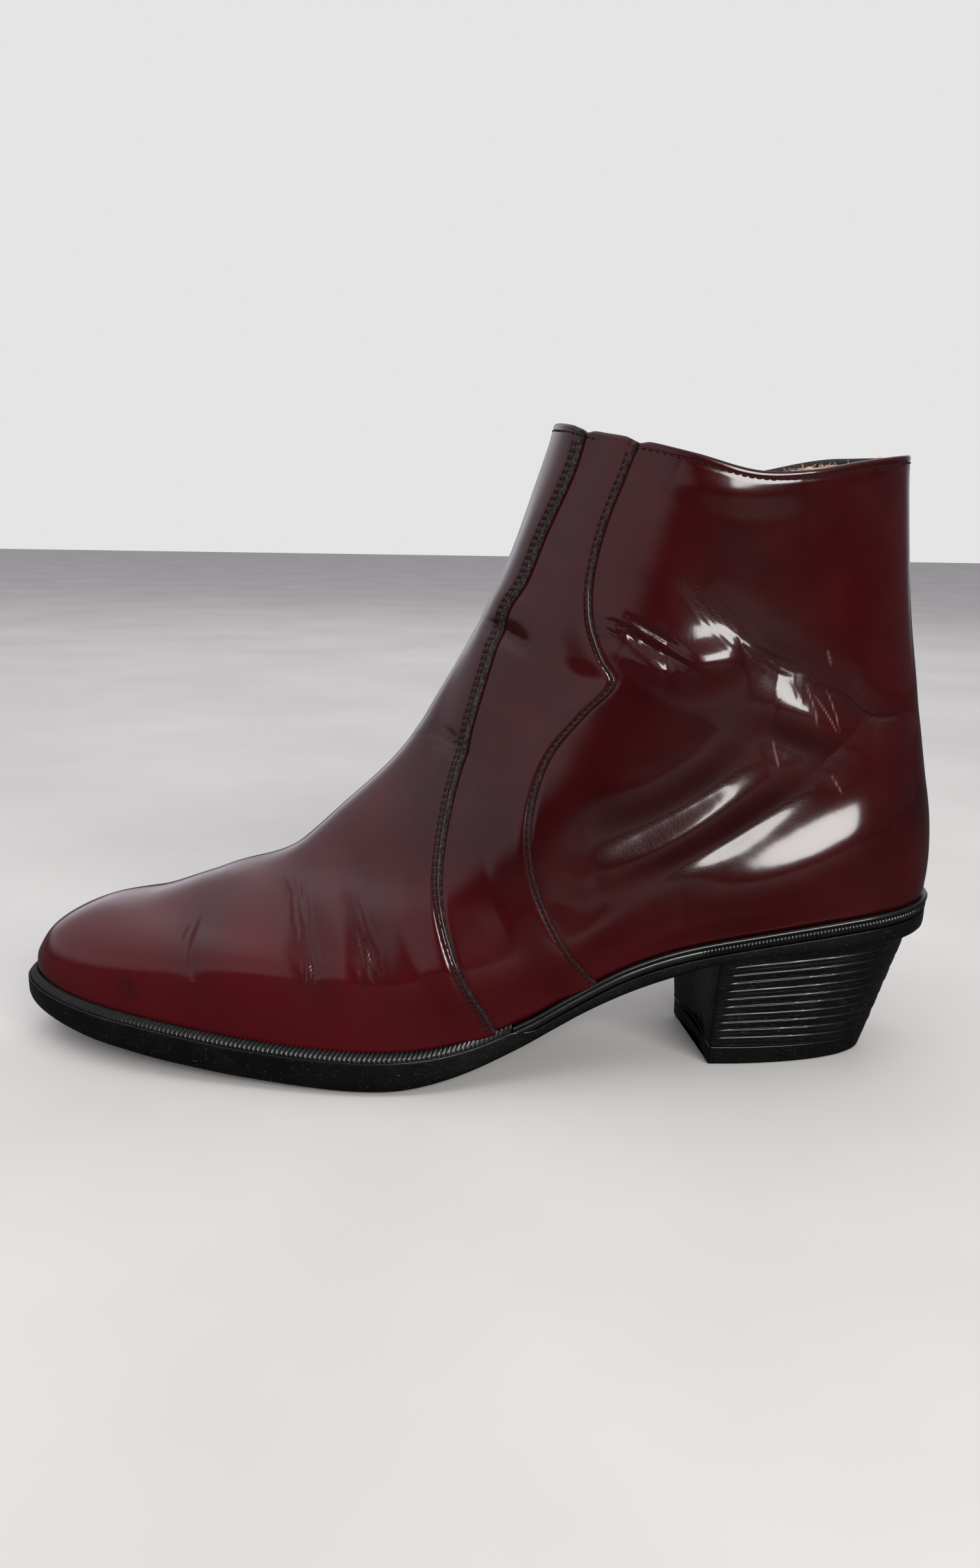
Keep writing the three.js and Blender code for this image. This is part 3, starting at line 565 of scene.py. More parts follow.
def fabric_material(name, base, dark, pitch_mm):
    """Woven cloth: two crossed waves of yarn."""
    m = Shader(name, Roughness=0.85, Sheen_Weight=0.3)
    turns = 2 * math.pi / pitch_mm * 1000 / 20
    waves = [
        m.add("TexWave", {"bands_direction": axis}, Vector=m.place, Scale=turns, Distortion=0.4)
        for axis in ("X", "Z")
    ]
    yarn = m.math("MAXIMUM", *[wave.outputs["Fac"] for wave in waves])
    # Painted shade: the cloth is darker in the gaps between the yarns, where the bump is low.
    color = m.blend(m.between(yarn, 0.3, 0.9), dark, base)
    color = m.blend(m.math("MULTIPLY", m.noise(90, 3), 0.5), color, dark)
    return m.finish(color, normal=m.bump(yarn, 0.12, 0.8))


def plain_material(name, base, dark, roughness, scale, depth_mm):
    """Board, cork, foam and other hidden pieces: speckled and slightly rough, their darker specks in the
    hollows of the grain partly their own colour and partly painted shade.
    """
    m = Shader(name, Roughness=roughness)
    grain = m.noise(scale, 5)
    # Partly painted shade: the speckle is darker where the grain's bump is low.
    return m.finish(m.blend(m.between(grain, 0.35, 0.65), dark, base), normal=m.bump(grain, depth_mm, 0.7))


BURGUNDY = leather_material(
    "burgundy_leather", (0.058, 0.0012, 0.003), (0.014, 0.0003, 0.0009), (0.062, 0.006, 0.0035)
)
FLAP = leather_material("flap_leather", (0.16, 0.07, 0.045), (0.1, 0.04, 0.025), (0.2, 0.1, 0.06))
SOLE = rubber_material("sole_rubber", 0.35)
SEAT = rubber_material("seat_rubber", 0.75, 0.2)
HEEL = rubber_material("heel_rubber", 0.5, 0.9)
PILE = pile_material("peach_pile", (0.76, 0.42, 0.28), (0.66, 0.31, 0.19), (0.85, 0.58, 0.42))
FIBRE = pile_material("pile_fibres", (0.84, 0.54, 0.39), (0.78, 0.44, 0.3), (0.92, 0.74, 0.58))
THREAD = thread_material("burgundy_thread", (0.009, 0.002, 0.003), (0.0025, 0.001, 0.0012))
BRASS = metal_material("aged_brass", (0.62, 0.42, 0.17), (0.26, 0.16, 0.06))
STEEL = metal_material("dull_steel", (0.5, 0.5, 0.5), (0.22, 0.21, 0.2))
TAPE = fabric_material("zip_tape", (0.05, 0.008, 0.012), (0.012, 0.002, 0.004), 0.7)
STIFFENER = plain_material("stiffener", (0.72, 0.66, 0.55), (0.5, 0.44, 0.34), 0.9, 500, 0.1)
BOARD = plain_material("fibreboard", (0.38, 0.25, 0.13), (0.25, 0.15, 0.07), 0.85, 700, 0.1)
CORK = plain_material("cork", (0.36, 0.2, 0.09), (0.16, 0.08, 0.03), 0.95, 400, 0.4)


# -------------------------------- meshes of a surface
def shell(outside, inside, coarse=4):
    """Points and faces of a closed sheet, with a fine outside and every coarse-th row and column inside."""
    rows, columns = outside.shape[:2]
    inside = inside[::coarse, ::coarse]
    few_rows, few_columns = inside.shape[:2]
    fine = np.arange(rows * columns).reshape(rows, columns)
    rough = np.arange(few_rows * few_columns).reshape(few_rows, few_columns) + rows * columns
    faces = [grid_faces(rows, columns), grid_faces(few_rows, few_columns, rows * columns, flip=True)]
    borders = [(grid[0], grid[:, -1], grid[-1, ::-1], grid[::-1, 0]) for grid in (fine, rough)]
    triangles = []
    half = coarse // 2
    for many, few in zip(*borders):
        for k in range(len(few) - 1):
            start = many[k * coarse : (k + 1) * coarse + 1]
            triangles += [(few[k], start[j + 1], start[j]) for j in range(half)]
            triangles += [(few[k + 1], start[j + 1], start[j]) for j in range(half, coarse)]
            triangles.append((few[k], few[k + 1], start[half]))
    faces.append(np.array(triangles))
    return np.vstack([outside.reshape(-1, 3), inside.reshape(-1, 3)]), faces


def along_row(points):
    """Distance of each grid point from the left end of its row, in millimetres."""
    steps = np.linalg.norm(np.diff(points, axis=1), axis=2)
    return np.concatenate([np.zeros((len(points), 1)), np.cumsum(steps, axis=1)], axis=1)


def along_column(points):
    """Distance of each grid point from the lower end of its column, in millimetres."""
    return along_row(points.transpose(1, 0, 2)).T


# -------------------------------- the zip's own frame
def side_spot(xz, side):
    angle, v = find_on_side([xz], side)
    return loop_point(angle, v)[0], loop_normal(angle, v)[0]


zip_high, high_normal = side_spot(ZIP_TOP, INNER)
zip_low, low_normal = side_spot(ZIP_BOTTOM, INNER)
ZIP_LENGTH = np.linalg.norm(zip_high - zip_low)
zip_up = unit(zip_high - zip_low)
zip_across = unit(np.cross(zip_up, high_normal + low_normal))
zip_out = np.cross(zip_across, zip_up)
ZIP_AXES = np.array([zip_across, zip_up, zip_out])  # X towards the toe, Y up the zip, Z outwards
ZIP_GAP, CLOSED_GAP = 4.6, 0.15  # half widths between the leather edges beside the zip, and under it
LEATHER_OVER_ZIP = 1.0
INNER_FROM = 5  # points with y above this are on the inner side


def to_zip(points):
    return (points - zip_low) @ ZIP_AXES.T


def from_zip(local):
    return np.asarray(local, float) @ ZIP_AXES + zip_low


def settle_on_zip(points, level):
    """Bends points of the inner wall that are near the zip to a level over its teeth."""
    local = to_zip(points)
    near = smooth(1 - (np.abs(local[..., 0]) - 5) / 16) * smooth((local[..., 1] + 26) / 22)
    near = near * (points[..., 1] > INNER_FROM)
    local[..., 2] = mix(local[..., 2], level, near)
    return from_zip(local)


# -------------------------------- the upper
TOPLINE_STITCHES = 2.3
STITCHES = (1.3, 2.5)  # distances of the front seam's stitch rows from its edge
REAR_STITCHES = (1.3,)
ZIP_STITCHES = 1.8
BEVEL, REAR_BEVEL = 0.7, 0.35
OVER = 1.5  # how far an overlapping panel stands over the one beneath it
UNDERLAP = 7.0
STITCH_DEPTH = 0.22  # how deep a row of stitches pulls the leather in
RIM_SAG = 5.0
RIM_ROLL, RIM_ROLL_WIDTH = 0.4, 4  # how far the rim bends outwards, and over what height
SEAM_NOTCH, NOTCH_WIDTH = 0.9, 2.2  # how deep and wide the rim dips where a seam meets it
TUCK, TUCK_HEIGHT = 0.9, 2.2  # how far the lowest part of the leather turns in to the sole
LEATHER_WAVES = ((0.1, 75, 3), (0.006, 9, 4))  # height, wavelength and seed
TURN = 2 * math.pi

front_seam = {OUTER: seam_angle(FRONT_SEAM, OUTER), INNER: seam_angle(FRONT_SEAM, INNER)}
rear_seam = seam_angle(REAR_SEAM, OUTER)
zip_line = seam_angle(
    [mix(np.array(ZIP_BOTTOM), np.array(ZIP_TOP), t) for t in (1.2, 0.8, 0.4, 0, -0.3, -0.62)], INNER
)


def angle_step(angle, v, distance):
    """The change of angle that moves a distance in millimetres round the boot."""
    step = 1e-3
    rate = np.linalg.norm(loop_point(angle + step, v) - loop_point(angle - step, v), axis=-1) / (2 * step)
    return distance / rate


def zip_edge(v, towards):
    """The leather's edge beside the zip: +1 is the edge nearer the toe."""
    angle = zip_line(v)
    angle = angle + towards * angle_step(angle, v, CLOSED_GAP)
    for _ in range(4):
        across, height, _ = np.moveaxis(to_zip(loop_point(angle, v)), -1, 0)
        gap = mix(CLOSED_GAP, ZIP_GAP, smooth((height + 7) / 5) ** 0.6)
        angle = angle + angle_step(angle, v, towards * gap - across) * smooth((height + 12) / 8)
    return angle


def ripple(points, wavelength, count=20, seed=1):
    """A smooth random field of about unit height, as a sum of waves."""
    draw = np.random.default_rng(seed)
    waves = unit(draw.normal(size=(count, 3))) * TURN / wavelength * draw.uniform(0.7, 1.4, (count, 1))
    phase = draw.uniform(0, TURN, count)
    flat = points.reshape(-1, 3)
    total = sum(np.sin(flat @ wave + shift) for wave, shift in zip(waves, phase))
    return (total / math.sqrt(count / 2)).reshape(points.shape[:-1])


def rim_sag(points):
    """How far the inner side's rim hangs down beside the zip's top, where the leather is free."""
    x, y, z = np.moveaxis(points, -1, 0)
    return RIM_SAG * smooth(1 - np.abs(x - ZIP_TOP[0]) / 34) * smooth((z - 176) / 16) * (y > INNER_FROM)


def leather_point(angle, v, lift=0.0):
    """Points of the finished leather, with their normals and how creased and scratched they are."""
    plain, normal = loop_point(angle, v), loop_normal(angle, v)
    height, creased, scratched = relief(plain, angle)
    height = height - SCRATCH_DEPTH * scratched
    for rise, wavelength, seed in LEATHER_WAVES:
        height = height + rise * ripple(plain, wavelength, seed=seed)
    points = plain + normal * (height + lift)[..., None]
    points[..., 2] -= rim_sag(plain)
    return settle_on_zip(points, LEATHER_OVER_ZIP + lift), normal, creased, scratched


def dye_tone(points):
    """How light the dye is: 1 on the lower vamp, less towards the top and the back."""
    x, z = points[..., 0], points[..., 2]
    return 0.25 + 0.6 * smooth((30 - x) / 90) * smooth((130 - z) / 100) + 0.2 * smooth((75 - z) / 40)


def stitch_dip(distance, rows):
    return -STITCH_DEPTH * sum(bell(distance - row, 0.5) for row in rows)


def panel_angles(left, right, v, columns):
    """Angles of a panel's columns, close together at both edges and even between them."""
    near = np.array([0, 0.12, 0.35, 0.65, 0.95, 1.25, 1.6, 2.0, 2.5, 3.0])
    start, end = left[:, None], right[:, None]
    low = start + angle_step(start + 0.01, v, 1.0) * near
    high = end - angle_step(end - 0.01, v, 1.0) * near[::-1]
    middle = mix(low[:, -1:], high[:, :1], np.linspace(0, 1, columns - 2 * len(near) + 2)[1:-1])
    return np.concatenate([low, middle, high], axis=1)


def panel(name, left, right, columns, rows, node, over=(0, 0), bevel=(0, 0), stitched=((), ())):
    """A leather panel between two angles. over says how far each side edge stands over its neighbour, below 0
    for an edge that runs under it. bevel is the width of a raw sloping edge, and stitched gives the distances
    of stitch rows from each edge."""
    v = np.r_[0, 0.0015, 0.004, np.linspace(0.008, 0.992, rows - 6), 0.996, 0.9985, 1]
    ends = [left(v), right(v)]
    for k, direction in ((0, -1), (1, 1)):
        if over[k] < 0:
            ends[k] = ends[k] + direction * angle_step(ends[k], v, UNDERLAP)
    angle = panel_angles(*ends, v[:, None], columns)
    v = np.broadcast_to(v[:, None], angle.shape)
    plain = loop_point(angle, v)
    from_left, from_bottom = along_row(plain), along_column(plain)
    from_right, from_top = from_left[:, -1:] - from_left, from_bottom[-1:] - from_bottom
    lift, edge, notch = np.zeros(angle.shape), np.zeros(angle.shape), np.zeros(angle.shape)
    for distance, amount, slope, rows_at in zip((from_left, from_right), over, bevel, stitched):
        if amount > 0:
            lift += lift_beside(distance, amount) - 0.92 * amount * np.clip(1 - distance / slope, 0, 1)
            edge = np.maximum(edge, np.clip((slope + 0.1 - distance) / 0.15, 0, 1))
            notch += bell(distance, NOTCH_WIDTH)
        elif amount < 0:
            lift -= 0.3 * smooth((UNDERLAP + 1.5 - distance) / 3)
            notch += bell(distance - UNDERLAP, NOTCH_WIDTH)
        else:
            lift -= 0.35 * np.clip(1 - distance / 0.5, 0, 1) ** 2
        lift += stitch_dip(distance, rows_at)
    lift -= TUCK * np.clip(1 - from_bottom / TUCK_HEIGHT, 0, 1) ** 2
    lift += RIM_ROLL * bell(from_top, RIM_ROLL_WIDTH) - 0.6 * np.clip(1 - from_top / 0.7, 0, 1) ** 2
    lift += stitch_dip(from_top, (TOPLINE_STITCHES,))
    points, normal, creased, scratched = leather_point(angle, v, lift)
    points[..., 2] -= SEAM_NOTCH * notch * np.clip(1 - from_top / 6, 0, 1)
    inside = points - normal * LEATHER
    corners, faces = shell(points, inside)
    obj = make_mesh(name, corners, faces, BURGUNDY)
    hidden = np.ones(len(corners) - edge.size)
    dark = np.maximum(0.75 * np.clip(1 - from_top / 0.8, 0, 1), 0.6 * np.clip(1 - from_bottom / 1.2, 0, 1))
    looks = {"raw": edge, "edge": dark, "crease": creased, "scratch": scratched, "tone": dye_tone(plain)}
    for label, values in looks.items():
        set_attribute(obj, label, np.r_[values.ravel(), hidden * (label == "edge")])
    stands_for(obj, "burgundy_leather", node)


def lift_beside(distance, over):
    """How far a panel still stands over its plain surface at a distance from its overlapping edge."""
    return over * (1 - smooth((distance - 2) / 13))


# -------------------------------- stitches
STITCH_PITCH = 2.1
THREAD_RADIUS = 0.27


def stitches(name, angle, v, lift):
    """A row of raised stitches along a line of angles and heights."""
    points, normal, _, _ = leather_point(angle, v, lift)
    reach = np.r_[0, np.cumsum(np.linalg.norm(np.diff(points, axis=0), axis=1))]
    count = int(reach[-1] / STITCH_PITCH)
    middles = (np.arange(count) + 0.5) * reach[-1] / count
    at = lambda values, where: np.stack([np.interp(where, reach, values[:, k]) for k in range(3)], -1)
    forward = unit(at(points, middles + 0.4) - at(points, middles - 0.4))
    up = unit(at(normal, middles))
    aside = unit(np.cross(up, forward))
    centre, forward, up, aside = [a[:, None, None] for a in (at(points, middles), forward, up, aside)]
    stations = (np.array([-0.49, -0.42, -0.24, 0.0, 0.24, 0.42, 0.49]) * STITCH_PITCH)[:, None, None]
    size = (np.array([0.15, 0.7, 1.0, 1.08, 1.0, 0.7, 0.15]) * THREAD_RADIUS)[:, None, None]
    height = (np.array([-0.45, -0.1, 0.16, 0.24, 0.16, -0.1, -0.45]) * THREAD_RADIUS / 0.3)[:, None, None]
    turns = (np.arange(8) * TURN / 8)[:, None]
    jitter = random.normal(0, 0.05, (count, 1, 1, 1))
    centre = centre + up * height + forward * stations + aside * jitter
    corners = (centre + (aside * np.cos(turns) * 1.15 + up * np.sin(turns)) * size).reshape(-1, 3)
    points_each = size.size * turns.size
    caps = np.array([[0, 3, 2, 1], [0, 5, 4, 3], [0, 7, 6, 5]])
    walls = grid_faces(size.size, turns.size, wrap=True)
    single = np.vstack([walls, caps, caps[:, ::-1] + points_each - turns.size])
    faces = (single[None] + (np.arange(count) * points_each)[:, None, None]).reshape(-1, 4)
    stands_for(make_mesh(name, corners, faces, THREAD), "burgundy_leather")


def seam_stitches(name, seam, direction, distance, over):
    """Stitches at a distance in front of a seam, over the whole height of the boot."""
    v = np.linspace(0.012, 0.985, 500)
    angle = seam(v)
    angle = angle + direction * angle_step(angle, v, distance)
    stitches(name, angle, v, lift_beside(distance, over) - STITCH_DEPTH)


def build_upper():
    back_of = {side: (lambda v, end=-side * math.pi: np.full_like(v, end)) for side in (OUTER, INNER)}
    beside_zip = {towards: (lambda v, towards=towards: zip_edge(v, towards)) for towards in (1, -1)}
    front, inner_front = front_seam[OUTER], front_seam[INNER]
    under, beside, zip_rows = -1, 0, (ZIP_STITCHES,)
    panel(
        "vamp_leather", inner_front, front, 501, 321, "vamp",
        (OVER, OVER), (BEVEL, BEVEL), (STITCHES, STITCHES),
    )
    panel(
        "outer_side_leather", front, rear_seam, 121, 301, "outer_side_panel",
        (under, OVER), (0, REAR_BEVEL), ((), REAR_STITCHES),
    )
    panel("outer_quarter_leather", rear_seam, back_of[OUTER], 301, 321, "outer_quarter", (under, beside))
    panel(
        "inner_quarter_leather", back_of[INNER], beside_zip[-1], 181, 301, "inner_quarter",
        stitched=((), zip_rows),
    )
    panel(
        "inner_side_leather", beside_zip[1], inner_front, 221, 301, "inner_side_panel",
        (beside, under), stitched=(zip_rows, ()),
    )
    for side, label in ((OUTER, "outer"), (INNER, "inner")):
        for k, distance in enumerate(STITCHES):
            seam_stitches(f"{label}_front_stitches_{k + 1}", front_seam[side], side, distance, OVER)
    seam_stitches("outer_rear_stitches", rear_seam, OUTER, REAR_STITCHES[0], OVER)
    build_topline_stitches()
    build_zip_stitches()


def build_topline_stitches():
    """Stitches under the rim, from the zip's rear edge round the boot to its front edge."""
    top = np.ones(1)
    start, end = zip_edge(top, 1)[0] + 0.05, zip_edge(top, -1)[0] + TURN - 0.05
    angle = np.linspace(start, end, 900)
    v = np.full(900, 0.97)
    for _ in range(4):
        rim, here = loop_point(angle, np.ones(900)), loop_point(angle, v)
        v = 1 - (1 - v) * TOPLINE_STITCHES / np.linalg.norm(rim - here, axis=1)
    over = np.zeros(900)
    for side in (OUTER, INNER):
        gap = (front_seam[side](v) - angle) * -side / angle_step(angle, v, 1.0)
        over = np.where((gap > 0) & (np.sign(angle) == -side), lift_beside(gap, OVER), over)
    stitches("topline_stitches", angle, v, over - 0.1)


def build_zip_stitches():
    v = np.linspace(0, 0.985, 900)
    for label, towards in (("front", 1), ("rear", -1)):
        angle = zip_edge(v, towards)
        angle = angle + towards * angle_step(angle, v, ZIP_STITCHES)
        high = to_zip(loop_point(angle, v))[:, 1] > -9
        stitches(f"zip_{label}_stitches", angle[high], v[high], np.full(high.sum(), -STITCH_DEPTH))


# -------------------------------- lining
LINING_OUTSIDE, LINING_INSIDE = 3.4, 5.6
TAPE_DEPTHS = (1.6, 2.1)


def lining_point(angle, v, depth):
    """Points at a depth under the plain surface, settled behind the zip."""
    plain = loop_point(angle, v)
    points = plain - loop_normal(angle, v) * np.asarray(depth)[..., None]
    points[..., 2] -= rim_sag(plain)
    return settle_on_zip(points, LEATHER_OVER_ZIP - np.asarray(depth))


def round_lining(v, columns):
    """A grid of angles and heights from the zip's front edge round the boot to its rear edge."""
    start, end = zip_edge(v, 1), zip_edge(v, -1) + TURN
    angle = mix(start[:, None], end[:, None], np.linspace(0, 1, columns))
    return angle, np.broadcast_to(v[:, None], angle.shape)


def tufts(points):
    return 0.55 * ripple(points, 5.5, seed=11) + 0.3 * ripple(points, 2.4, 28, seed=12)


def build_lining():
    """A pile sheet from one edge of the zip round the boot to the other, and its standing fibres."""
    rows, columns = 241, 481
    v = np.linspace(0, 1, rows)
    angle, v = round_lining(v, columns)
    from_top = along_column(loop_point(angle, v))
    from_top = from_top[-1:] - from_top
    at_rim = bell(from_top, 3.5)
    outside = lining_point(angle, v, LINING_OUTSIDE - 1.2 * at_rim)
    inside = lining_point(angle, v, LINING_INSIDE - 0.6 * at_rim)
    across = unit(inside - outside)
    inside = inside + across * (tufts(inside) * 0.9)[..., None]
    rim = np.clip(1 - from_top / 1.6, 0, 1)
    inside = mix(inside, outside, (rim * 0.55)[..., None])
    below_leather = 1.3 + 1.1 * (inside[..., 1] > INNER_FROM)
    rise = (0.3 * ripple(inside, 3.0, seed=14) - below_leather) * at_rim
    inside[..., 2] += rise
    outside[..., 2] += rise - 0.4 * at_rim
    corners, faces = shell(inside[:, ::-1], outside[:, ::-1])
    obj = make_mesh("pile_lining", corners, faces, PILE)
    stands_for(obj, "pile_lining", "vamp_lining", "outer_shaft_lining", "inner_shaft_lining")
    build_fibres(inside, across, v, from_top)


def build_topline_tape():
    """The reinforcing tape under the rim, between the leather and the lining."""
    v = np.linspace(0.9, 0.985, 21)
    angle, v = round_lining(v, 241)
    outside, inside = [lining_point(angle, v, np.full(angle.shape, depth)) for depth in TAPE_DEPTHS]
    obj = make_mesh("rim_tape", *shell(outside, inside), STIFFENER)
    stands_for(obj, "stiffener", "topline_tape")


def build_fibres(surface, inwards, v, from_top):
    """Short curved hairs, thicker on the ground near the rim, where they can be seen."""
    chance = np.where(v > 0.45, 0.25 + 2.2 * np.exp(-from_top / 6), 0.0).ravel()
    picks = random.choice(chance.size, 15000, p=chance / chance.sum())
    root = surface.reshape(-1, 3)[picks] + random.normal(0, 0.25, (len(picks), 3))
    lean = unit(inwards.reshape(-1, 3)[picks] + random.normal(0, 0.5, root.shape) + np.array([0, 0, 0.1]))
    curl = random.normal(0, 0.5, root.shape)
    length = random.uniform(1.0, 2.6, (len(picks), 1))
    aside = unit(np.cross(lean, curl))
    ahead = np.cross(lean, aside)
    rings = []
    for share, radius in ((0, 0.11), (0.35, 0.1), (0.7, 0.07), (1, 0.02)):
        centre = root + lean * length * share + curl * length * 0.45 * share**2 - lean * 0.3
        rings.append([centre + (aside * math.cos(a) + ahead * math.sin(a)) * radius for a in (0, 2.1, 4.2)])
    corners = np.array(rings).transpose(2, 0, 1, 3)
    one = grid_faces(4, 3, wrap=True)
    first = (np.arange(len(picks)) * 12)[:, None, None]
    faces = (one + first).reshape(-1, 4)
    tips = (np.array([[9, 10, 11], [2, 1, 0]]) + first).reshape(-1, 3)
    stands_for(make_mesh("pile_fibres", corners.reshape(-1, 3), [faces, tips], FIBRE), "pile_lining")


def build_sock():
    """The padded insole sock, which swells over the heel cushion."""
    rows, columns = 61, 121
    share = np.linspace(0, 1, rows)
    angle = np.linspace(0.02, math.pi - 0.02, columns)
    low, high = sole_edge_point(angle, -9.5), sole_edge_point(-angle, -9.5)
    points = mix(low[None], high[None], share[:, None, None])
    crown = np.sin(np.pi * share)[:, None] ** 0.5
    ends = np.sin(angle)[None] ** 0.35
    lift = 2.8 * smooth((points[..., 0] - 40) / 40) + 0.6 + 2.0 * crown * ends
    top = points.copy()
    top[..., 2] = feather_z(points[..., 0]) + lift + 0.3 * tufts(points)
    bottom = points.copy()
    bottom[..., 2] = feather_z(points[..., 0]) + 0.2
    corners, faces = shell(top, bottom)
    obj = make_mesh("insole_sock_pile", corners, faces, PILE)
    recalculate(obj)
    stands_for(obj, "pile_lining", "insole_sock", "heel_cushion")


# -------------------------------- sole
WELT_HEIGHT = 4.3
RIM_RISE = 2.7
SOLE_TAPER, SIDEWALL_TAPER = 5, 0.9


def sole_edge_point(angle, grow):
    """Points round the feather line, moved outwards level by an edge width."""
    flat = np.asarray(angle, float)
    out = loop_normal(flat, np.zeros_like(flat))
    out[..., 2] = 0
    points = loop_point(flat, np.zeros_like(flat)) + unit(out) * np.asarray(grow)[..., None]
    points[..., 2] = feather_z(points[..., 0])
    return points


def sole_ring(angle, grow, drop):
    """A ring at an edge width, whose height lies between the feather line, drop 0, and the tread, drop 1."""
    points = sole_edge_point(angle, grow)
    x = points[..., 0]
    points[..., 2] = mix(feather_z(x) - WELT_HEIGHT, sole_bottom_z(x), drop)
    return points


def edge_width(angle):
    """How far the sole stands out from the upper at an angle."""
    return sole_edge((1 - np.cos(angle)) / 2)


def stack_rings(name, rings, material, node):
    """A closed body through rings of points. Its first and last rings are closed with strips across."""
    rings = np.array(rings)
    count = rings.shape[1]
    faces = [grid_faces(len(rings), count, wrap=True)]
    for base, flip in ((0, True), ((len(rings) - 1) * count, False)):
        i = np.arange(1, count // 2)
        strip = np.stack([i, i + 1, (count - i - 1) % count, count - i], -1)[:-1] + base
        middle = np.array([[0, 1, count - 1], [count // 2 - 1, count // 2, count // 2 + 1]]) + base
        faces += [strip[:, ::-1], middle[:, ::-1]] if flip else [strip, middle]
    obj = make_mesh(name, rings.reshape(-1, 3), faces, material)
    recalculate(obj)
    stands_for(obj, "black_rubber", node)


def build_outsole():
    """The sole unit: its wall stands up round the welt, and its foot tapers in to the tread."""
    angle = np.arange(1080) * TURN / 1080
    edge = edge_width(angle)
    profile = [  # edge width beyond the sole's own, drop, rise of the rim round the welt
        (-4.0, 0, 0), (-0.7, 0, 0), (-0.55, 0, 1), (-0.42, 0, 1.12), (-0.2, 0, 1.15), (-0.03, 0, 1.05),
        (0, 0.02, 0.85), (0, 0.1, 0.4), (-0.02, 0.3, 0.1), (-0.1, 0.55, 0), (-0.35, 0.75, 0),
        (-SIDEWALL_TAPER, 0.84, 0), (-1.7, 0.9, 0), (-3.2, 0.96, 0), (-SOLE_TAPER, 1.0, 0),
        (-SOLE_TAPER - 1.5, 1.0, 0),
    ]
    rings = []
    for grow, drop, rise in profile:
        ring = sole_ring(angle, edge + grow, drop)
        round_welt = smooth((WELT_END_X + 8 - ring[:, 0]) / 10)
        ring[:, 2] += RIM_RISE * rise * round_welt + 0.04 * ripple(ring, 25, seed=21) * (drop < 0.9)
        rings.append(ring)
    stack_rings("outsole_rubber", rings, SOLE, "outsole")
    build_tread()


def build_tread():
    """Raised bars across the ball of the foot, on the underside."""
    bars = []
    faces = []
    for k, x in enumerate(np.arange(-128, -14, 6.0)):
        angle = abs(find_on_side([(x, feather_z(x) + 0.5)], OUTER)[0][0])
        ends = sole_edge_point(np.array([angle, -angle]), np.full(2, -8.5))
        share = np.linspace(0, 1, 25)
        line = mix(ends[0], ends[1], share[:, None])
        line[:, 0] += 2.2 * np.sin(np.pi * share * 2)
        for offset, rise in ((-1.5, 0.5), (-1.1, 0), (1.1, 0), (1.5, 0.5)):
            rib = line + np.array([offset, 0, 0])
            rib[:, 2] = sole_bottom_z(rib[:, 0]) + rise
            bars.append(rib)
        faces.append(grid_faces(4, 25, k * 100, flip=True))
        faces.append(np.array([[0, 25, 50, 75], [99, 74, 49, 24]]) + k * 100)
        first, last = np.arange(24) + k * 100, np.arange(24) + k * 100 + 75
        faces.append(np.stack([first, first + 1, last + 1, last], -1)[:, ::-1])
    obj = make_mesh("tread_bars", np.array(bars).reshape(-1, 3), faces, HEEL, smooth_shade=False)
    recalculate(obj)
    stands_for(obj, "black_rubber")


def fan_caps(rows, columns):
    """Triangles that close the first and the last loop of a grid."""
    fan = np.array([[0, i, i + 1] for i in range(1, columns - 1)])
    return [fan[:, ::-1], fan + (rows - 1) * columns]


def closed_band(name, sections, material, node):
    """A closed band through sections of points, each section a loop, with flat ends."""
    sections = np.array(sections)
    rows, columns = sections.shape[:2]
    faces = [grid_faces(rows, columns, wrap=True), *fan_caps(rows, columns)]
    obj = make_mesh(name, sections.reshape(-1, 3), faces, material)
    recalculate(obj)
    stands_for(obj, "black_rubber", node)


def band_angles(x_from, x_to, count):
    """Angles round the feather line that keep x on one side of a limit, evenly spaced in millimetres."""
    dense = np.linspace(-math.pi, math.pi, 4001) + (math.pi if x_from > 0 else 0)
    at = sole_edge_point(dense, np.zeros(4001))
    keep = (at[:, 0] >= x_from) & (at[:, 0] <= x_to)
    dense, at = dense[keep], at[keep]
    reach = np.r_[0, np.cumsum(np.linalg.norm(np.diff(at, axis=0), axis=1))]
    spots = np.linspace(0, reach[-1], count)
    return np.interp(spots, reach, dense), spots


def build_welt():
    """The storm welt inside the rim of the sole: a sloping strip of slanted ribs."""
    pitch = 1.5
    angle, reach = band_angles(-400, WELT_END_X, 3200)
    room = edge_width(angle) - 0.55
    profile = [  # share of the room, height over the feather line, share of rib
        (-4.0, -3.9, 0), (-4.0, 0.0, 0), (-1.2, 0.2, 0), (-0.1, 0.95, 0.5), (0.12, 0.95, 1), (0.32, 0.6, 1),
        (0.52, 0.25, 1), (0.72, -0.2, 1), (0.9, -0.7, 1), (1.0, -1.1, 0.5), (1.0, -1.9, 0), (1.0, -3.9, 0),
    ]
    sections = []
    for width, height, ribbed in profile:
        points = sole_edge_point(angle, room * width if width > 0 else np.full_like(room, width))
        wave = np.abs(np.sin(np.pi * (reach / pitch + max(width, 0) * 1.1))) ** 0.7 - 0.55
        points[:, 2] += height + 0.95 * ribbed * wave
        sections.append(points)
    closed_band("storm_welt", np.array(sections).transpose(1, 0, 2), SOLE, "ribbed_welt")


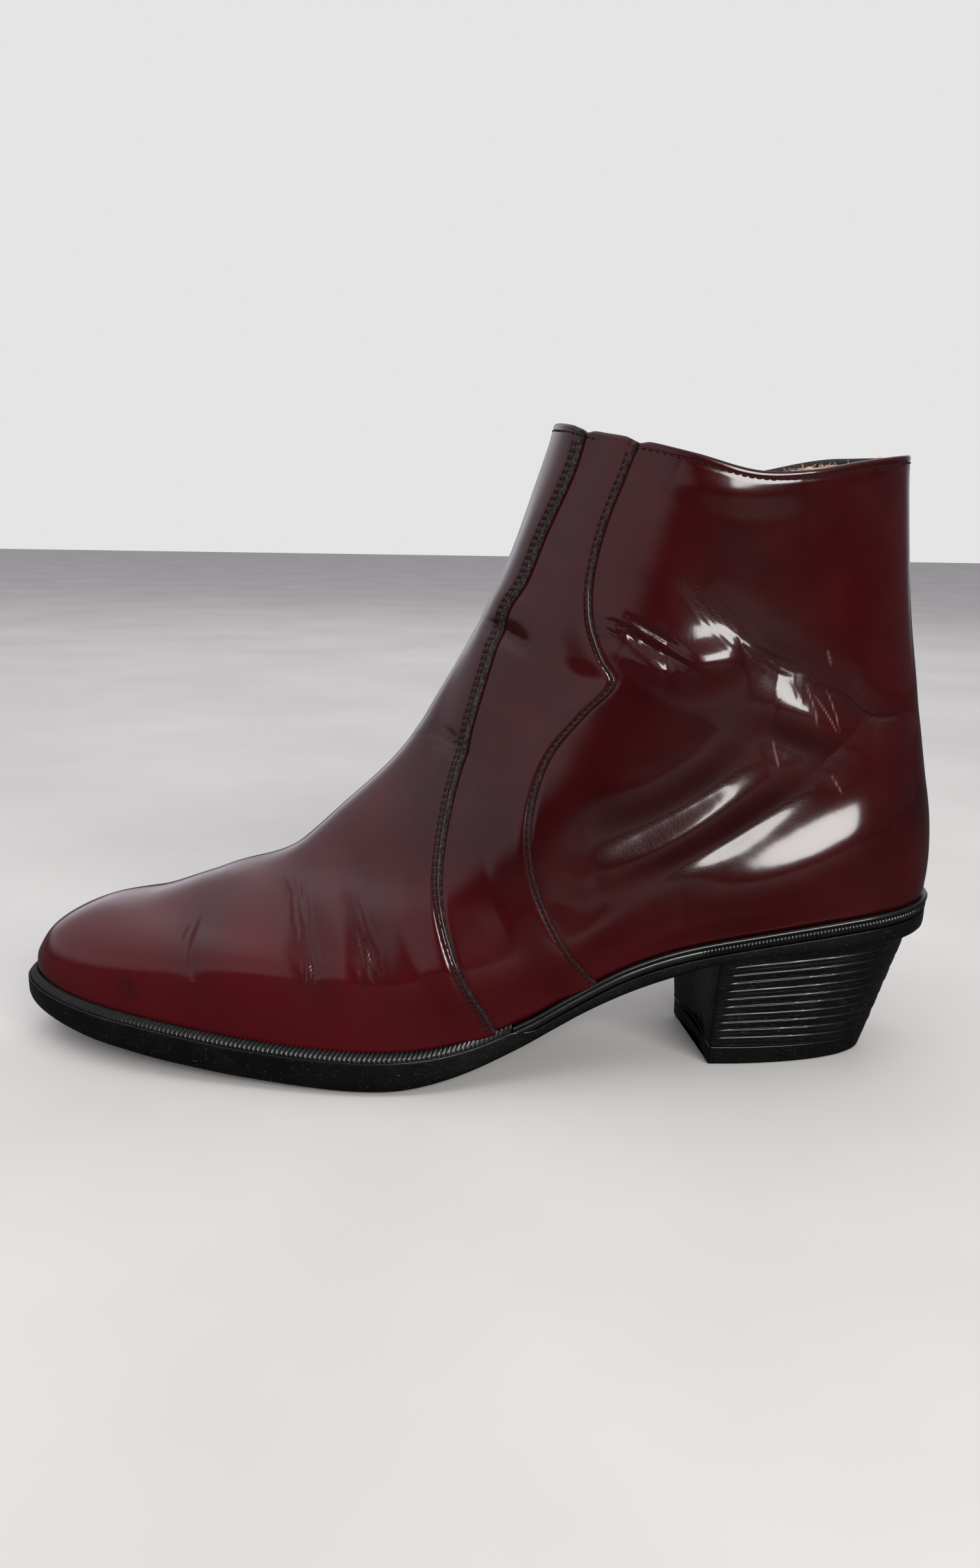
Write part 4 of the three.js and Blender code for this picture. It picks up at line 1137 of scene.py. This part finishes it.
def build_rand():
    """The seat band over the heel: a glossy bead, and below it a strip of fine upright ribs."""
    pitch = 1.15
    angle, reach = band_angles(WELT_END_X, 400, 2200)
    edge = edge_width(angle)
    rib_zone = smooth((sole_edge_point(angle, 0.0 * edge)[:, 0] - 66) / 4)
    profile = [  # edge width beyond the sole's own, height, share of rib
        (-5.0, -3.9, 0), (-5.0, -0.1, 0), (-1.2, 0.0, 0), (-0.4, 0.45, 0), (0.25, 0.3, 0), (0.6, -0.25, 0),
        (0.55, -0.8, 0), (0.1, -1.25, 0), (-0.35, -1.5, 0), (-0.1, -1.8, 0.6), (0.0, -2.4, 1), (0.0, -3.1, 1),
        (-0.1, -3.6, 0.6), (-0.35, -3.9, 0),
    ]
    sections = []
    for width, height, ribbed in profile:
        wave = (np.abs(np.sin(np.pi * reach / pitch)) - 0.6) * 0.5 * ribbed * rib_zone
        points = sole_edge_point(angle, edge + width + wave)
        points[:, 2] += height
        sections.append(points)
    closed_band("seat_band", np.array(sections).transpose(1, 0, 2), SEAT, "heel_rand")


# -------------------------------- heel
HEEL_SEAT, HEEL_FOOT = {"back": 139.5, "half": 27}, {"back": 127, "half": 20}
HEEL_HEIGHT = 40
LIFT, BREAST_SLANT = 6.4, 0.13
HEEL_LAYERS = 11
LAYER_HEIGHT = 34 / HEEL_LAYERS
HEEL_POINTS = 480
GROOVE_DEPTH, GROOVE_WIDTH = 0.65, 0.17


def heel_outline(t, inset):
    """The heel's level outline at share t from ground to seat, from the middle of the breast round."""
    quarter = HEEL_POINTS // 4
    back_x = mix(HEEL_FOOT["back"], HEEL_SEAT["back"], t)
    half = mix(HEEL_FOOT["half"], HEEL_SEAT["half"], t**1.2)
    fullness = mix(1, 0.8, t)
    turn = np.linspace(0, math.pi / 2, quarter + 1)
    side_x = BREAST_X + (back_x - BREAST_X) * np.sin(turn) ** fullness
    side_y = half * np.cos(turn) ** fullness
    breast = np.linspace(0, 1, quarter + 1)[:-1]
    breast_x = BREAST_X + 1.6 * np.cos(np.pi / 2 * breast) ** 2
    xs = np.r_[breast_x, side_x, side_x[-2::-1], breast_x[:0:-1]]
    ys = np.r_[-half * breast, -side_y, side_y[-2::-1], (half * breast)[:0:-1]]
    slanted = xs - BREAST_SLANT * ys * np.clip(1 - (xs - BREAST_X) / (back_x - BREAST_X), 0, 1)
    points = np.stack([slanted, ys], -1)
    along = np.roll(points, -1, axis=0) - np.roll(points, 1, axis=0)
    outward = unit(np.stack([along[:, 1], -along[:, 0]], -1))
    outward = outward * np.sign((outward * (points - points.mean(0))).sum(-1).mean())
    return points - outward * np.asarray(inset)[..., None]


def round_corners(points, passes=3):
    """Softens the sharp turns of a closed outline."""
    for _ in range(passes):
        points = 0.5 * points + 0.25 * (np.roll(points, 1, axis=0) + np.roll(points, -1, axis=0))
    return points


def heel_rings(low, high, shares, levels, inset_of):
    """Rings of the heel from the height low to high(x), each as wide as the heel is at its level."""
    around = np.arange(HEEL_POINTS) / HEEL_POINTS
    rings = []
    for share, level in zip(shares, levels):
        z = mix(low, high(heel_outline(level, 0.0)[:, 0]), share)
        rings.append(np.column_stack([round_corners(heel_outline(level, inset_of(share, around))), z]))
    return rings


def heel_grooves(share, around):
    """Grooves between the stacked layers, on the sides and the back but not on the breast."""
    wander = 0.055 * np.sin(TURN * around * 2 + 1) + 0.03 * np.sin(TURN * around * 5 + 2)
    layer = share * HEEL_LAYERS + wander * 2.2
    gap = np.abs(layer - np.round(layer)) * LAYER_HEIGHT
    on_side = smooth((np.minimum(around, 1 - around) - 0.252) / 0.012)
    inner = (np.round(layer) > 0) * (np.round(layer) < HEEL_LAYERS)
    step = 0.09 * np.sin(np.floor(layer + 0.5) * 2.4 + np.floor(layer) * 1.7)
    layers = on_side * (GROOVE_DEPTH * bell(gap, GROOVE_WIDTH) * inner + step)
    return layers + 0.03 * np.sin(TURN * around * 9 + share * 30)


def worn_edges(share, around):
    rounded = 0.5 * np.clip(1 - share / 0.12, 0, 1) ** 2 + 0.3 * np.clip((share - 0.94) / 0.06, 0, 1) ** 2
    return rounded + 0.03 * np.sin(TURN * around * 7)


def build_heel():
    low = LIFT + 0.25
    shares = np.linspace(0, 1, 181)
    levels = mix(low / HEEL_HEIGHT, 1, shares)
    rings = heel_rings(low, lambda x: sole_bottom_z(x) - 0.3, shares, levels, heel_grooves)
    stack_rings("heel_stack", rings, HEEL, "heel_block")
    shares = np.r_[0, 0.03, 0.07, 0.12, np.linspace(0.2, 0.9, 8), 0.94, 0.97, 1]
    rings = heel_rings(0.0, lambda x: np.full_like(x, LIFT), shares, LIFT * shares / HEEL_HEIGHT, worn_edges)
    stack_rings("heel_top_lift", rings, SOLE, "heel_top_piece")


# -------------------------------- zip
SLIDER_Y = ZIP_LENGTH - 7.5
TOOTH_PITCH = 2.0


def extruded(outline, low, high, bevel=0.0):
    """A slab of the zip frame: an outline of (x, y) points from one level to another, with eased edges."""
    outline = np.asarray(outline, float)
    middle = outline.mean(0)
    size = np.abs(outline - middle).max()
    levels = [(low, 0), (high, 0)]
    if bevel:
        levels = [(low, bevel), (low + bevel, 0), (high - bevel, 0), (high, bevel)]
    rings = []
    for level, inset in levels:
        flat = middle + (outline - middle) * (1 - inset / size)
        rings.append(np.column_stack([flat, np.full(len(flat), level)]))
    count = len(outline)
    return np.vstack(rings), [grid_faces(len(rings), count, wrap=True), *fan_caps(len(rings), count)]


def joined(name, solids, material, node, body="boot", slot_name="zip_metal"):
    """One piece from several (points, faces) solids given in the zip's frame."""
    corners, faces, first = [], [], 0
    for points, groups in solids:
        corners.append(from_zip(points))
        faces += [np.asarray(group) + first for group in groups]
        first += len(points)
    obj = make_mesh(name, np.vstack(corners), faces, material, body, smooth_shade=False)
    recalculate(obj)
    stands_for(obj, slot_name, node)


def on_side(outline, side, y=0.0):
    """A zip outline on the front side, 1, or turned over to the rear side, -1."""
    return [(side * x, y + offset) for x, offset in outline]


def tooth(side, y):
    """One metal tooth: a foot round the tape's cord and a narrower head across the middle."""
    edge = [(2.5, -0.62), (1.1, -0.62), (0.5, -0.45), (-0.45, -0.5)]
    outline = [*edge, (-0.7, 0.0), *[(x, -offset) for x, offset in edge[::-1]]]
    return extruded(on_side(outline, side, y), -1.85, -0.15, 0.16)


def tape_strip(side, x_from, x_to, low, high, bevel):
    bottom, top = -1.5, ZIP_LENGTH + 1
    outline = [(x_from, bottom), (x_to, bottom), (x_to, top), (x_from, top)]
    return extruded(on_side(outline, side), low, high, bevel)


def build_zip():
    top_stop = [(0.8, 0.2), (1.0, 0), (2.5, 0), (2.7, 0.2), (2.7, 1.8), (2.5, 2), (1.0, 2), (0.8, 1.8)]
    for label, side in (("front", 1), ("rear", -1)):
        shift = 0.5 * TOOTH_PITCH * (side > 0)
        heights = np.arange(2.6 + shift, ZIP_LENGTH - 3.2, TOOTH_PITCH)
        joined(f"teeth_{label}", [tooth(side, y) for y in heights], BRASS, f"zip_teeth_{label}")
        tape = [tape_strip(side, 2.1, 6.6, -1.5, -0.8, 0.1)]
        tape += [tape_strip(side, x, x + 0.35, -0.85, -0.62, 0.06) for x in (2.7, 3.3, 3.9, 4.5)]
        joined(f"tape_{label}", tape, TAPE, f"zip_tape_{label}", slot_name="zip_tape")
        stop = on_side(top_stop, side, ZIP_LENGTH - 2.4)
        joined(f"top_stop_{label}", [extruded(stop, -1.9, 0.5, 0.2)], BRASS, f"zip_top_stop_{label}")
    low = [(-2.6, 0.3), (-2.3, 0), (2.3, 0), (2.6, 0.3), (2.6, 1.4), (2.3, 1.7), (-2.3, 1.7), (-2.6, 1.4)]
    joined("bottom_stop", [extruded(low, -1.9, 0.5, 0.2)], BRASS, "zip_bottom_stop")
    build_flap()
    build_slider()


def build_flap():
    """The leather flap behind the zip, gently bowed, with a turned edge."""
    rows, columns = 121, 25
    y = np.linspace(-2, ZIP_LENGTH - 3, rows)[:, None] + np.zeros(columns)
    x = np.linspace(-11, 11, columns) * (1 - 0.12 * np.clip(1 - (ZIP_LENGTH - 3 - y) / 10, 0, 1) ** 2)
    bow = -8.6 + 0.5 * (x / 11) ** 2 + 0.25 * np.sin(y / 9)
    edge = 0.4 * bell(11 - np.abs(x), 0.8)
    front = np.stack([x, y, bow + 0.5 - edge], -1)
    rear = np.stack([x, y, bow - 0.5], -1)
    corners, faces = shell(front, rear)
    obj = make_mesh("zip_flap_leather", from_zip(corners), faces, FLAP)
    recalculate(obj)
    stands_for(obj, "flap_leather", "zip_flap")


def build_slider():
    """A shouldered slider with a raised bridge, and a pull that hangs from it."""
    half = [(2.7, -4.5), (3.2, -3.8), (3.3, -0.5), (4.1, 2.2), (4.0, 3.6), (3.0, 4.4), (1.0, 4.5)]
    body = np.array([(-2.7, -4.5), *half, (0, 3.9), *[(-x, y) for x, y in half[:0:-1]]])
    body[:, 1] += SLIDER_Y

    def bar(half_width, low_y, high_y, *levels):
        outline = [(x, SLIDER_Y + y) for x, y in (
            (-half_width, low_y), (half_width, low_y), (half_width, high_y), (-half_width, high_y)
        )]
        return extruded(outline, *levels)

    solids = [
        extruded(body, 0.2, 1.4, 0.25),
        extruded(body * [0.82, 1], -3.1, -2.2, 0.2),
        bar(0.55, 1.9, 4.0, -2.5, 0.4, 0.05),
        bar(1.0, -3.0, -2.0, 1.2, 3.7, 0.15),
        bar(1.0, 2.0, 3.0, 1.2, 3.7, 0.15),
        bar(1.0, -3.0, 3.0, 3.35, 4.1, 0.2),
    ]
    joined("slider_body", solids, BRASS, "zip_slider", "slider")
    build_pull()


def rounded_box(turn, half_width, half_length, centre, squareness):
    """A rounded rectangle, centred on (0, centre)."""
    across, along = [np.sign(c) * np.abs(c) ** squareness for c in (np.cos(turn), np.sin(turn))]
    return np.stack([half_width * across, centre + half_length * along], -1)


def build_pull():
    """A flat tab with a window for the bridge, rounded ends and a raised rim."""
    count, long = 64, 11.6
    centre, window_centre = SLIDER_Y - 11.9, SLIDER_Y - 2.8
    turn = np.arange(count) * TURN / count + TURN / count / 2
    outer = rounded_box(turn, 3.1, long, centre, 0.42)
    outer[:, 0] *= np.minimum(1 + 0.1 * (centre - outer[:, 1]) / long, 1.03)
    inner = rounded_box(turn, 1.45, 2.15, window_centre, 0.5)
    narrow = mix(inner, [0, window_centre], 0.1)
    rim = [mix(outer, [0, centre], share) for share in (0.06, 0.17, 0.22)]
    profile = [
        (outer, 1.8), (outer, 1.95), (outer, 2.62), (rim[0], 2.8), (rim[1], 2.8), (rim[2], 2.62),
        (inner, 2.62), (narrow, 2.75), (narrow, 1.85), (inner, 1.8),
    ]
    corners = np.vstack([np.column_stack([flat, np.full(count, z)]) for flat, z in profile])
    i, last = np.arange(count), (len(profile) - 1) * count
    closing = np.stack([last + i, last + (i + 1) % count, (i + 1) % count, i], -1)
    faces = [grid_faces(len(profile), count, wrap=True), closing]
    obj = make_mesh("pull_tab", from_zip(corners), faces, BRASS, "pull", smooth_shade=False)
    recalculate(obj)
    stands_for(obj, "zip_metal", "zip_pull")


# -------------------------------- the CAD pieces that stay
def paint_hidden_pieces():
    finishes = {
        STIFFENER: [
            "toe_puff", "heel_counter",
            "outer_interlining", "inner_front_interlining", "inner_rear_interlining",
        ],
        BOARD: ["insole_board"],
        CORK: ["cork_filler"],
        STEEL: ["steel_shank", "heel_screw"],
    }
    for material, names in finishes.items():
        for name in names:
            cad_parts[name].data.materials.clear()
            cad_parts[name].data.materials.append(material)


# -------------------------------- studio
CAMERA_AT = np.array([0.0, -377.0, 172.0])
CAMERA_DOWN, CAMERA_ROLL = math.radians(12.5), math.radians(0.85)
CAMERA_LENS = 27.045


def build_camera():
    camera = bpy.data.objects.new("camera", bpy.data.cameras.new("camera"))
    bpy.context.scene.collection.objects.link(camera)
    camera.data.sensor_width, camera.data.lens = 36, CAMERA_LENS
    camera.data.clip_start, camera.data.clip_end = 0.01, 50
    forward = Vector((0, math.cos(CAMERA_DOWN), -math.sin(CAMERA_DOWN)))
    level = Vector((1, 0, 0))
    up = level.cross(forward)
    right = level * math.cos(CAMERA_ROLL) + up * math.sin(CAMERA_ROLL)
    up = up * math.cos(CAMERA_ROLL) - level * math.sin(CAMERA_ROLL)
    axes = Matrix((right, up, -forward)).transposed().to_4x4()
    camera.matrix_world = Matrix.Translation((CAMERA_AT + SHIFT) / 1000) @ axes
    bpy.context.scene.camera = camera


def light(name, at, aim, size, power, color=(1, 1, 1), mirrored=True):
    data = bpy.data.lights.new(name, "AREA")
    data.shape, data.size, data.size_y = "RECTANGLE", *size
    data.energy, data.color = power, color
    obj = bpy.data.objects.new(name, data)
    bpy.context.scene.collection.objects.link(obj)
    obj.location = at
    obj.visible_glossy = mirrored
    obj.rotation_mode = "QUATERNION"
    obj.rotation_quaternion = (Vector(aim) - Vector(at)).to_track_quat("-Z", "Y")


def build_studio():
    floor_material = Shader("studio_floor", Roughness=0.75)
    speck = floor_material.between(floor_material.noise(6, 4), 0.3, 0.7)
    pale = floor_material.blend(speck, (0.6, 0.59, 0.57), (0.68, 0.67, 0.65))
    # Painted shade: the floor is near black wherever it is seen in a glossy reflection, and pale to the
    # camera.
    mirrored = floor_material.add("LightPath").outputs["Is Glossy Ray"]
    floor_material.finish(floor_material.blend(mirrored, pale, (0.022, 0.02, 0.019)))
    bpy.ops.mesh.primitive_plane_add(size=12, location=(0, 0, -0.0002))
    floor = bpy.context.object
    floor.name = "studio_floor"
    floor.data.materials.append(floor_material.material)

    build_room()
    light("window", (0.67, -1.4, 0.76), (0.05, 0, 0.1), (1.25, 0.6), 29, (1, 0.985, 0.97))
    light("top", (-0.3, -0.3, 2.2), (0, 0, 0.05), (2.4, 2.0), 22, mirrored=False)
    light("behind", (0.3, 1.5, 1.1), (0, 0, 0.1), (1.8, 0.8), 4, mirrored=False)
    bpy.context.scene.view_settings.view_transform = "Standard"


def build_room():
    """The soft surroundings: a bright ceiling, a pale wall to the toe's side, and dark behind the camera."""
    world = bpy.data.worlds.new("studio")
    bpy.context.scene.world = world
    world.use_nodes = True
    nodes, links = world.node_tree.nodes, world.node_tree.links
    split = nodes.new("ShaderNodeSeparateXYZ")
    links.new(nodes.new("ShaderNodeTexCoord").outputs["Generated"], split.inputs[0])

    def ramp(axis, start, end, level):
        """From 0 where the direction's axis is at start to a level where it is at end."""
        part = nodes.new("ShaderNodeMapRange")
        part.interpolation_type = "SMOOTHSTEP"
        links.new(split.outputs[axis], part.inputs[0])
        for k, value in enumerate((start, end, 0.0, level)):
            part.inputs[k + 1].default_value = value
        return part.outputs[0]

    def join(operation, a, b):
        joint = nodes.new("ShaderNodeMath")
        joint.operation = operation
        links.new(a, joint.inputs[0])
        links.new(b, joint.inputs[1])
        return joint.outputs[0]

    def choose(share, a, b):
        node = nodes.new("ShaderNodeMix")
        node.data_type = "RGBA"
        links.new(share, node.inputs[0])
        for socket, value in ((node.inputs[6], a), (node.inputs[7], b)):
            if isinstance(value, tuple):
                socket.default_value = value
            else:
                links.new(value, socket)
        return node.outputs[2]

    side_wall, above_horizon = ramp("X", -0.26, -0.43, 0.46), ramp("Z", 0.0, 0.12, 1)
    ceiling, wall_behind = ramp("Z", 0.3, 0.95, 0.38), ramp("Y", 0.5, 0.95, 0.45)
    heel_side, ground = ramp("X", 0.05, 0.5, 0.06), ramp("Z", 1, -1, 0.04)
    total = join("MULTIPLY", side_wall, above_horizon)
    for part in (ceiling, wall_behind, heel_side, ground):
        total = join("ADD", total, part)
    tinted = choose(total, (0, 0, 0, 1), (1.0, 0.97, 1.05, 1))
    by_camera = nodes.new("ShaderNodeLightPath").outputs["Is Camera Ray"]
    links.new(choose(by_camera, tinted, (0.78, 0.78, 0.78, 1)), nodes["Background"].inputs["Color"])


build_camera()
build_studio()
build_upper()
build_lining()
build_topline_tape()
build_sock()
build_outsole()
build_welt()
build_rand()
build_heel()
build_zip()
paint_hidden_pieces()
